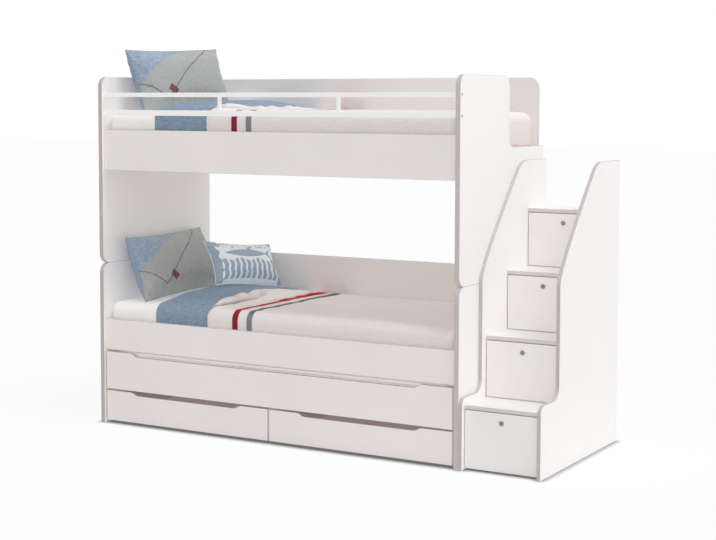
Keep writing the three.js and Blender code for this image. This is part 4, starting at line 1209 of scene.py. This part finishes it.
def make_bedding(denim, cover_cloth):
    for seed, level in enumerate(LEVELS, 2):
        fold = finish_piece(f"{level}_duvet_fold", fold_shape(level, seed * 11.3), [denim])
        shape = cover_shape(level, seed * 5.7)
        area = cloth_area(shape)
        cover = finish_piece(f"{level}_coverlet", shape, [cover_cloth])
        thickened(cover, COVER_THICK)
        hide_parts(f"{level}_duvet")
        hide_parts(f"{level}_duvet")


# The pillows and the small cushion

def crown_of(facts, u, v):
    """How far a stuffed case swells at a place, both counted from -1 to 1: 1 in its middle."""
    return max(0, (1 - u * u) * (1 - v * v)) ** (facts["crown"] / 2)


def stand(pose):
    """Stands a cushion up: rolled in its own plane, leaned back, turned and put in its place."""
    upright = Matrix(((0, 0, 1), (1, 0, 0), (0, 1, 0))).to_4x4()
    turn = Matrix.Rotation(math.radians(pose["turn"]), 4, "Z")
    lean = Matrix.Rotation(math.radians(-pose["lean"]), 4, "Y")
    roll = Matrix.Rotation(math.radians(pose["roll"]), 4, "Z")
    return Matrix.Translation(pose["centre"]) @ turn @ lean @ upright @ roll


def cushion_shape(facts, pose):
    """Two crowned cloths that meet in one seam; layers keep each vertex's column and row."""
    shape = new_cloth()
    column, row = shape.verts.layers.int.new("column"), shape.verts.layers.int.new("row")
    face_side = shape.verts.layers.int.new("side")
    width, height = facts["size"]
    across, up = facts["cells"]
    for side in (1, -1):
        verts = cloth_grid(shape, facts["cells"])
        for vert in verts:
            u, v = 2 * vert.co.x, 2 * vert.co.y
            vert[column], vert[row] = round((u + 1) / 2 * across), round((v + 1) / 2 * up)
            vert[face_side] = side
            depth = facts["front"] if side > 0 else -facts["back"]
            pull = Vector((0, 0))
            for (right, top), way in pose["ears"].items():
                pull += Vector(way) * ((1 + right * u) * (1 + top * v) / 4) ** 2.2
            vert.co = (width / 2 * u * (1 - facts["waist"] * (1 - v * v)) + pull.x,
                       height / 2 * v * (1 - facts["waist"] * (1 - u * u)) + pull.y,
                       depth * CASE_SLACK * crown_of(facts, u, v))
        faces = {f for v in verts for f in v.link_faces}
        for face in faces:
            face.material_index = 0 if side > 0 else 1
        if side < 0:
            bmesh.ops.reverse_faces(shape, faces=list(faces))
    flat_map(shape, lambda v: (v[column] / across * width * MM, v[row] / up * height * MM))
    bmesh.ops.remove_doubles(shape, verts=shape.verts, dist=0.01)
    sharp = shape.edges.layers.float.new("crease_edge")
    for edge in shape.edges:
        on_rim = [v[column] in (0, across) or v[row] in (0, up) for v in edge.verts]
        sides = {face.material_index for face in edge.link_faces}
        edge[sharp] = 1.0 if all(on_rim) and len(sides) == 2 else 0.0
    bmesh.ops.transform(shape, matrix=stand(pose), verts=shape.verts)
    to_row_frame(shape)
    return shape


def puff(piece, seam, pressure=3.2, growth=-0.035, cap=14, frames=20):
    """Lets the cloth fill out and pucker along its held seam, and keeps the simulated form."""
    group = piece.vertex_groups.new(name="seam")
    group.add(seam, 1.0, "REPLACE")
    start = [v.co.copy() for v in piece.data.vertices]
    cloth = piece.modifiers.new("cloth", "CLOTH")
    cloth.point_cache.frame_end = frames
    settings = cloth.settings
    settings.quality = 6
    settings.mass = 0.3
    settings.tension_stiffness = 12
    settings.compression_stiffness = 12
    settings.shear_stiffness = 5
    settings.bending_stiffness = 0.3
    settings.use_pressure = True
    settings.uniform_pressure_force = pressure
    settings.shrink_min = growth
    settings.effector_weights.gravity = 0
    settings.vertex_group_mass = "seam"
    scene = bpy.context.scene
    for number in range(1, frames + 1):
        scene.frame_set(number)
    ready = piece.evaluated_get(bpy.context.evaluated_depsgraph_get())
    ended = [v.co.copy() for v in ready.data.vertices]
    piece.modifiers.remove(cloth)
    piece.vertex_groups.clear()
    scene.frame_set(1)
    for vert, old, new in zip(piece.data.vertices, start, ended):
        move = new - old
        longest = cap * MM
        vert.co = old + (move if move.length < longest else move.normalized() * longest)


# How far a cushion stays from the mattress's sheet, and from all that it leans on
SHEET_GAP, REST_GAP = 0.6, 1.2


def bedding_top(x, y, level):
    """Height of what a cushion lies on at one place of the bed."""
    sheet = LEVELS[level]["top"] + SHEET_GAP
    if x < FOLD_LEFT - 2:
        return sheet
    return sheet + (CREST + FOLD_LOFT + rise_at(x, y, level)) * fold_swell(x)


def settle(piece, level):
    """Flattens a cushion where it rests on the bedding, on the end panel and on the back panel."""
    for vert in piece.data.vertices:
        x, y, z = (vert.co - CORNER) / MM
        x = max(x, END_PANEL + REST_GAP)
        y = min(y, BACK_PANEL_FRONT - REST_GAP)
        z = max(z, bedding_top(x, y, level) + REST_GAP)
        vert.co = place(x, y, z)


def cushion_seam(piece, cells):
    """Numbers of the vertices along the seam, in their order round the case."""
    columns, rows = cells
    data = piece.data
    column = [a.value for a in data.attributes["column"].data]
    row = [a.value for a in data.attributes["row"].data]
    border = [i for i in range(len(data.vertices))
              if column[i] in (0, columns) or row[i] in (0, rows)]

    def around(i):
        if row[i] == 0:
            return column[i]
        if column[i] == columns:
            return columns + row[i]
        if row[i] == rows:
            return 2 * columns + rows - column[i]
        return 2 * (columns + rows) - row[i]
    return sorted(border, key=around)


def front_grid(piece, cells):
    """Position and outward direction of every vertex of the front cloth, by column and row."""
    data = piece.data
    kinds = [[a.value for a in data.attributes[name].data] for name in ("column", "row", "side")]
    grid = {}
    for vert in data.vertices:
        column, row, side = (kind[vert.index] for kind in kinds)
        if side > 0 or column in (0, cells[0]) or row in (0, cells[1]):
            grid[(column, row)] = (vert.co.copy(), vert.normal.copy())
    return grid


def on_front(grid, cells, s, t):
    """Point and direction of the front cloth at a share across and a share up."""
    c, r = clamp(s) * cells[0], clamp(t) * cells[1]
    i, j = min(int(c), cells[0] - 1), min(int(r), cells[1] - 1)
    a, b = c - i, r - j
    point, facing = Vector(), Vector()
    for (di, dj), weight in (((0, 0), (1 - a) * (1 - b)), ((1, 0), a * (1 - b)),
                             ((0, 1), (1 - a) * b), ((1, 1), a * b)):
        co, normal = grid[(i + di, j + dj)]
        point += co * weight
        facing += normal * weight
    return point, facing.normalized()


# The envelope flap on a pillow's front, as shares across and up: its tip, and where its borders end
FLAP_TIP = (0.21, 0.17)
FLAP_TOP = (0.86, 1.0)
FLAP_LEFT = (0.0, 0.465)
FLAP_BOW = 0.05
BORDER_TOP = (0.62, 1.0)
BORDER_LEFT = (0.0, 0.48)
BORDER_BULGE = 0.028
TAG_PLACES = {"lower": (0.31, 0.275), "upper": (0.265, 0.285)}
TAG_SIZE = (64, 37)
FLAP_CELLS, TAG_CELLS, ARC_STEPS = (64, 40), (10, 6), 8
TAG_TURN = -40
# How far each layer lies over the pillow's front, and how thick the cloths are
FLAP_LIFT, PIPING_LIFT, TAG_LIFT = 2.2, 3.2, 4.8
FLAP_THICK, TAG_THICK = 1.6, 0.8
RIGHT_PIPING, LEFT_PIPING = 1.5, 1.3


def border_circle():
    """Circle, in the pillow's flat map in metres, whose arc is the border of the blue corner."""
    width, height = (side * MM for side in PILLOW["size"])
    a = Vector((BORDER_TOP[0] * width, BORDER_TOP[1] * height))
    b = Vector((BORDER_LEFT[0] * width, BORDER_LEFT[1] * height))
    half = (a - b).length / 2
    radius = (half ** 2 + BORDER_BULGE ** 2) / (2 * BORDER_BULGE)
    along = (a - b).normalized()
    inward = Vector((along.y, -along.x))
    centre = (a + b) / 2 + inward * (radius - BORDER_BULGE)
    return {"centre": tuple(centre), "radius": radius}


def border_share(share):
    """A point of the blue corner's border, as shares across and up."""
    circle = border_circle()
    x, y = circle["centre"]
    width, height = (side * MM for side in PILLOW["size"])
    start, end = (math.atan2(t * height - y, s * width - x) % math.tau
                  for s, t in (BORDER_TOP, BORDER_LEFT))
    turn = start + (end - start) * share
    reach = circle["radius"]
    return (x + reach * math.cos(turn)) / width, (y + reach * math.sin(turn)) / height


def bowed(s, t):
    """Bends the straight right border of the flap into the soft curve that it lies in."""
    along = Vector(FLAP_TOP) - Vector(FLAP_TIP)
    spot = Vector((s, t)) - Vector(FLAP_TIP)
    share = clamp(spot.dot(along) / along.length_squared)
    outward = Vector((-along.y, along.x)).normalized()
    away = spot.dot(outward)
    push = FLAP_BOW * math.sin(math.pi * share) * math.exp(-((away / 0.16) ** 2))
    return s + outward.x * push, t + outward.y * push


def flap_shape(grid, cells):
    """The flap, cut from a flat cloth by straight cuts and laid on the pillow's front."""
    shape = new_cloth()
    cloth_grid(shape, FLAP_CELLS)
    bmesh.ops.translate(shape, vec=(0.5, 0.5, 0), verts=shape.verts)
    arc = [border_share(i / ARC_STEPS) for i in range(ARC_STEPS + 1)]
    cuts = [(FLAP_TIP, FLAP_TOP), (FLAP_LEFT, FLAP_TIP), *zip(arc, arc[1:])]
    for start, end in cuts:
        along = Vector((end[0] - start[0], end[1] - start[1], 0))
        outward = Vector((along.y, -along.x, 0))
        bmesh.ops.bisect_plane(shape, geom=[*shape.verts, *shape.edges, *shape.faces], dist=1e-6,
                               plane_co=(*start, 0), plane_no=outward, clear_outer=True)
    width, height = (side * MM for side in PILLOW["size"])
    flat_map(shape, lambda v: (v.co.x * width, v.co.y * height))
    reach = [max(v.co[i] for v in shape.verts) - min(v.co[i] for v in shape.verts) for i in (0, 1)]
    cut = {"flat": (reach[0] * width, reach[1] * height),
           "area": cloth_area(shape) * width * height}
    for vert in shape.verts:
        point, facing = on_front(grid, cells, *bowed(vert.co.x, vert.co.y))
        vert.co = point + facing * FLAP_LIFT * MM
    return shape, cut


def laid_line(grid, cells, start, end, count=40):
    """Points of a straight border of the flap, a little above the pillow's front."""
    points = []
    for i in range(count + 1):
        share = i / count
        s, t = (a + (b - a) * share for a, b in zip(start, end))
        point, facing = on_front(grid, cells, *bowed(s, t))
        points.append(point + facing * PIPING_LIFT * MM)
    return points


def tag_shape(grid, cells, middle):
    """A small woven label, plain, sewn on across the flap's border."""
    shape = new_cloth()
    cloth_grid(shape, TAG_CELLS)
    width, height = PILLOW["size"]
    turn = math.radians(TAG_TURN)
    flat = {}
    for vert in shape.verts:
        x, y = vert.co.x * TAG_SIZE[0], vert.co.y * TAG_SIZE[1]
        flat[vert] = (x * MM, y * MM)
        s = middle[0] + (x * math.cos(turn) - y * math.sin(turn)) / width
        t = middle[1] + (x * math.sin(turn) + y * math.cos(turn)) / height
        point, facing = on_front(grid, cells, s, t)
        vert.co = point + facing * TAG_LIFT * MM
    flat_map(shape, flat.get)
    return shape


def stuffed(name, facts, pose, level, cloths):
    """A filled case, blown up from its two cloths and settled on the bed; gives its seam too."""
    case = finish_piece(name, cushion_shape(facts, pose), cloths)
    seam = cushion_seam(case, facts["cells"])
    puff(case, seam)
    settle(case, level)
    subdivided(case)
    return case, [case.data.vertices[i].co.copy() for i in seam]


def make_pillow(level, cloths):
    pillow, seam = stuffed(f"{level}_pillow_soft", PILLOW, PILLOW_POSES[level], level,
                           [cloths["front"], cloths["denim"]])
    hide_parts(f"{level}_pillow")
    tube(f"{level}_pillow_seam", seam, PILLOW["seam"], cloths["trim"], closed=True)

    cells = PILLOW["cells"]
    grid = front_grid(pillow, cells)
    flap, cut = flap_shape(grid, cells)
    flap_piece = finish_piece(f"{level}_pillow_flap", flap, [cloths["flap"]])
    thickened(flap_piece, FLAP_THICK)
    right = tube(f"{level}_pillow_piping_right", laid_line(grid, cells, FLAP_TIP, FLAP_TOP),
                 RIGHT_PIPING, cloths["dark"])
    left = tube(f"{level}_pillow_piping_left", laid_line(grid, cells, FLAP_LEFT, FLAP_TIP),
                LEFT_PIPING, cloths["dark"])
    tag = finish_piece(f"{level}_pillow_label", tag_shape(grid, cells, TAG_PLACES[level]),
                       [cloths["label"]], smoothed=False)
    thickened(tag, TAG_THICK)


def make_small_cushion(cloths):
    cushion, seam = stuffed("small_cushion_soft", CUSHION, CUSHION_POSE, "lower",
                            [cloths["print"], cloths["print"]])
    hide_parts("small_cushion")
    tube("small_cushion_seam", seam, CUSHION["seam"], cloths["print_trim"], closed=True)


# Small fittings

def disc_shape(centre, across, radius, thick, bevel):
    """A round cap with a bevelled rim; across is the way it faces."""
    shape = bmesh.new()
    bmesh.ops.create_cone(shape, cap_ends=True, segments=32, radius1=radius, radius2=radius,
                          depth=thick)
    rim = [e for e in shape.edges if all(v.co.z > 0 for v in e.verts)]
    bmesh.ops.bevel(shape, geom=rim, offset=bevel, offset_type="OFFSET", affect="EDGES",
                    segments=3, profile=0.5, material=-1)
    turn = Vector(across).to_track_quat("Z", "Y").to_matrix().to_4x4()
    middle = Vector(centre) + Vector(across) * thick / 2
    bmesh.ops.transform(shape, matrix=Matrix.Translation(middle) @ turn, verts=shape.verts)
    to_row_frame(shape)
    return shape


BOLT_CAP = {"radius": 6.5, "thick": 1.6, "bevel": 0.7}
BOLT_HEIGHTS = {"high": 1720, "low": 1621}
BOLT_FROM_FRONT = 19


def make_bolt_caps(material):
    for name, height in BOLT_HEIGHTS.items():
        shape = disc_shape((BED_LENGTH, BOLT_FROM_FRONT, height), (1, 0, 0), **BOLT_CAP)
        finish_piece(f"guard_bolt_cap_{name}", shape, [material],
                     smoothed=False)


KNOB_RING = {"inner": 11.3, "outer": 16.5, "thick": 0.7, "bevel": 0.6}


def ring_shape(centre, inner, outer, thick, bevel):
    """A flat ring round a knob, spun from its bevelled section."""
    shape = bmesh.new()
    made = bmesh.ops.create_grid(shape, x_segments=1, y_segments=1, size=0.5)
    for vert in made["verts"]:
        x = inner if vert.co.x < 0 else outer
        y = -thick if vert.co.y > 0 else 0
        if vert.co.y > 0:
            x += bevel if vert.co.x < 0 else -bevel
        vert.co = (x, y, 0)
    bmesh.ops.spin(shape, geom=[*shape.verts, *shape.edges, *shape.faces], cent=(0, 0, 0),
                   axis=(0, 1, 0), angle=math.tau, steps=40, use_merge=True)
    section = [f for f in shape.faces if all(abs(v.co.z) < 1e-6 for v in f.verts)]
    bmesh.ops.delete(shape, geom=section, context="FACES")
    bmesh.ops.remove_doubles(shape, verts=shape.verts, dist=1e-5)
    bmesh.ops.recalc_face_normals(shape, faces=shape.faces)
    bmesh.ops.translate(shape, vec=centre, verts=shape.verts)
    to_row_frame(shape)
    return shape


def make_knob_rings(material):
    for number in STEPS:
        lowest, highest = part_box(f"stair_knob_{number}")
        middle = ((Vector(lowest) + Vector(highest)) / 2 - CORNER) / MM
        front = (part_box(f"stair_drawer_front_{number}")[0][1] - CORNER.y) / MM
        shape = ring_shape((middle.x, front, middle.z), **KNOB_RING)
        finish_piece(f"knob_ring_{number}", shape, [material], body=f"stair_drawer_{number}",
                     smoothed=False)


# The finishes on the pieces, and everything put together

def dress(material, *names):
    """Gives CAD nodes, whose shapes stay, their finished material."""
    for name in names:
        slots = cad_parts[name].material_slots
        for slot in slots:
            slot.link = "OBJECT"
            slot.material = material


THROUGH_X, THROUGH_Y, THROUGH_Z = (1, 0, 0), (0, 1, 0), (0, 0, 1)
# Finish of each board: the direction through it, its face, its edge band, further values, its nodes
BOARDS = {
    # Painted light and shade from piece to piece: a darker band on the left end panels; a lighter
    # white on the right panels, the inner stringer and the stair fronts; a darker white on the
    # treads
    "board_end_panel": (THROUGH_X, BOARD_WHITE, BAND_MAUVE_PAINTED_SHADE, {},
                        ("lower_left_end_panel", "upper_left_end_panel")),
    "board_right_panel": (THROUGH_X, PAINTED_LIGHT_WHITE, BAND_MAUVE, {},
                          ("lower_right_end_panel", "upper_right_end_panel")),
    "board_inner_stringer": (THROUGH_X, PAINTED_LIGHT_WHITE, BAND_GREY, {}, ("stair_inner_stringer",)),
    "board_outer_stringer": (THROUGH_X, BOARD_WHITE, BAND_GREY, {}, ("stair_outer_stringer",)),
    "board_rail": (THROUGH_Y, FRONT_WHITE, BAND_PALE, {},
                   ("lower_front_rail", "upper_front_board")),
    "board_back_panel": (THROUGH_Y, BOARD_WHITE, BAND_PALE, {},
                         ("lower_back_panel", "upper_back_panel")),
    # The drawer fronts and stair fronts get a dark band on their top and bottom edges: painted
    # shade of the gaps above and below them
    "board_drawer_front": (THROUGH_Y, FRONT_WHITE, BAND_PAINTED_GAP_SHADE, {"upright": BAND_LIGHT},
                           ("pullout_front", "drawer_left_front", "drawer_right_front")),
    "board_stair_front": (THROUGH_Y, STAIR_WHITE, BAND_PAINTED_GAP_SHADE, {"upright": BAND_PALE},
                          [f"stair_drawer_front_{n}" for n in STEPS]),
    "board_tread": (THROUGH_Z, PAINTED_SHADE_TREAD_WHITE, BAND_PALE, {}, [f"stair_tread_{n}" for n in STEPS]),
    "board_inner_side": (THROUGH_X, INNER_WHITE, BAND_PALE, {"sheen": INNER_SHEEN},
                         ("pullout_left_side", "pullout_right_side", "pullout_divider")),
    "board_inner_back": (THROUGH_Y, INNER_WHITE, BAND_PALE, {"sheen": INNER_SHEEN},
                         ("pullout_back_panel", "stair_back_panel", "stair_base_board")),
    # The drawer boxes' taupe is partly their finish and partly painted shade seen through the gaps
    # and hand-holds
    "board_drawer_box": (THROUGH_Z, BOX_TAUPE_AND_SHADE, BOX_TAUPE_AND_SHADE, {"sheen": BOX_SHEEN},
                         ("drawer_left_box", "drawer_right_box",
                          *[f"stair_drawer_box_{n}" for n in STEPS])),
}


def dress_boards():
    for name, (across, face, band, further, nodes) in BOARDS.items():
        dress(board_material(name, across, face, band, **further), *nodes)


def dress_fittings():
    dress(wood_material("slat_wood", (1.0, 0.06, 1.0)), "lower_slat_base", "upper_slat_base",
          "pullout_slat_base")
    dress(coated_steel_material(), "guard_top_rail", "guard_bottom_rail", "guard_post_left",
          "guard_post_right")
    ends = [f"{end}_{side}" for end in ("front", "back") for side in ("left", "right")]
    dress(plated_steel_material(), *[f"caster_fork_{end}" for end in ends])
    dress(moulded_material("caster_plastic", *CASTER_GREYS, 600.0, 0.5),
          *[f"caster_wheel_{end}" for end in ends])
    dress(moulded_material("knob_plastic", *KNOB_GREYS, 900.0, 0.42),
          *[f"stair_knob_{n}" for n in STEPS])


make_camera()
make_world()
make_floor()
for light in LIGHTS:
    make_sun(*light)
dress_boards()
dress_fittings()

# Fine cloth of the pipings and trims, which has no flat map of its own
FINE = {"flat_map": "Object", "threads": 900.0, "fold": 0.0002}
cap_grey = moulded_material("cap_plastic", *CAP_GREYS, 700.0, 0.4)
ring_pale = moulded_material("ring_plastic", *RING_WHITES, 700.0, 0.4)
cloths = {
    "denim": denim_material("pillow_denim", "UV"),
    "front": pillow_front_material(border_circle()),
    "flap": plain_cloth_material("pillow_flap_cloth", FLAP_GREY),
    "dark": plain_cloth_material("piping_cloth", PIPING_DARK, **FINE),
    "trim": denim_material("seam_denim", "Object"),
    "label": label_material(),
    "print": printed_material(),
    "print_trim": plain_cloth_material("cushion_trim_cloth", PRINT_WHITE, **FINE),
}
sheet_cloth = ticking_material("fitted_sheet_cloth", quilted=False)
quilted_cloth = ticking_material("quilted_ticking", quilted=True)
trim_cloth = plain_cloth_material("mattress_trim_cloth", TRIM_WHITE, **FINE)
make_mattresses(sheet_cloth, quilted_cloth, trim_cloth)
make_bedding(denim_material("duvet_denim", "UV", DUVET_LIGHT, DUVET_BLUE), cover_material())
for level in LEVELS:
    make_pillow(level, cloths)
make_small_cushion(cloths)
make_bolt_caps(cap_grey)
make_knob_rings(ring_pale)

bpy.context.scene.view_settings.view_transform = "Standard"
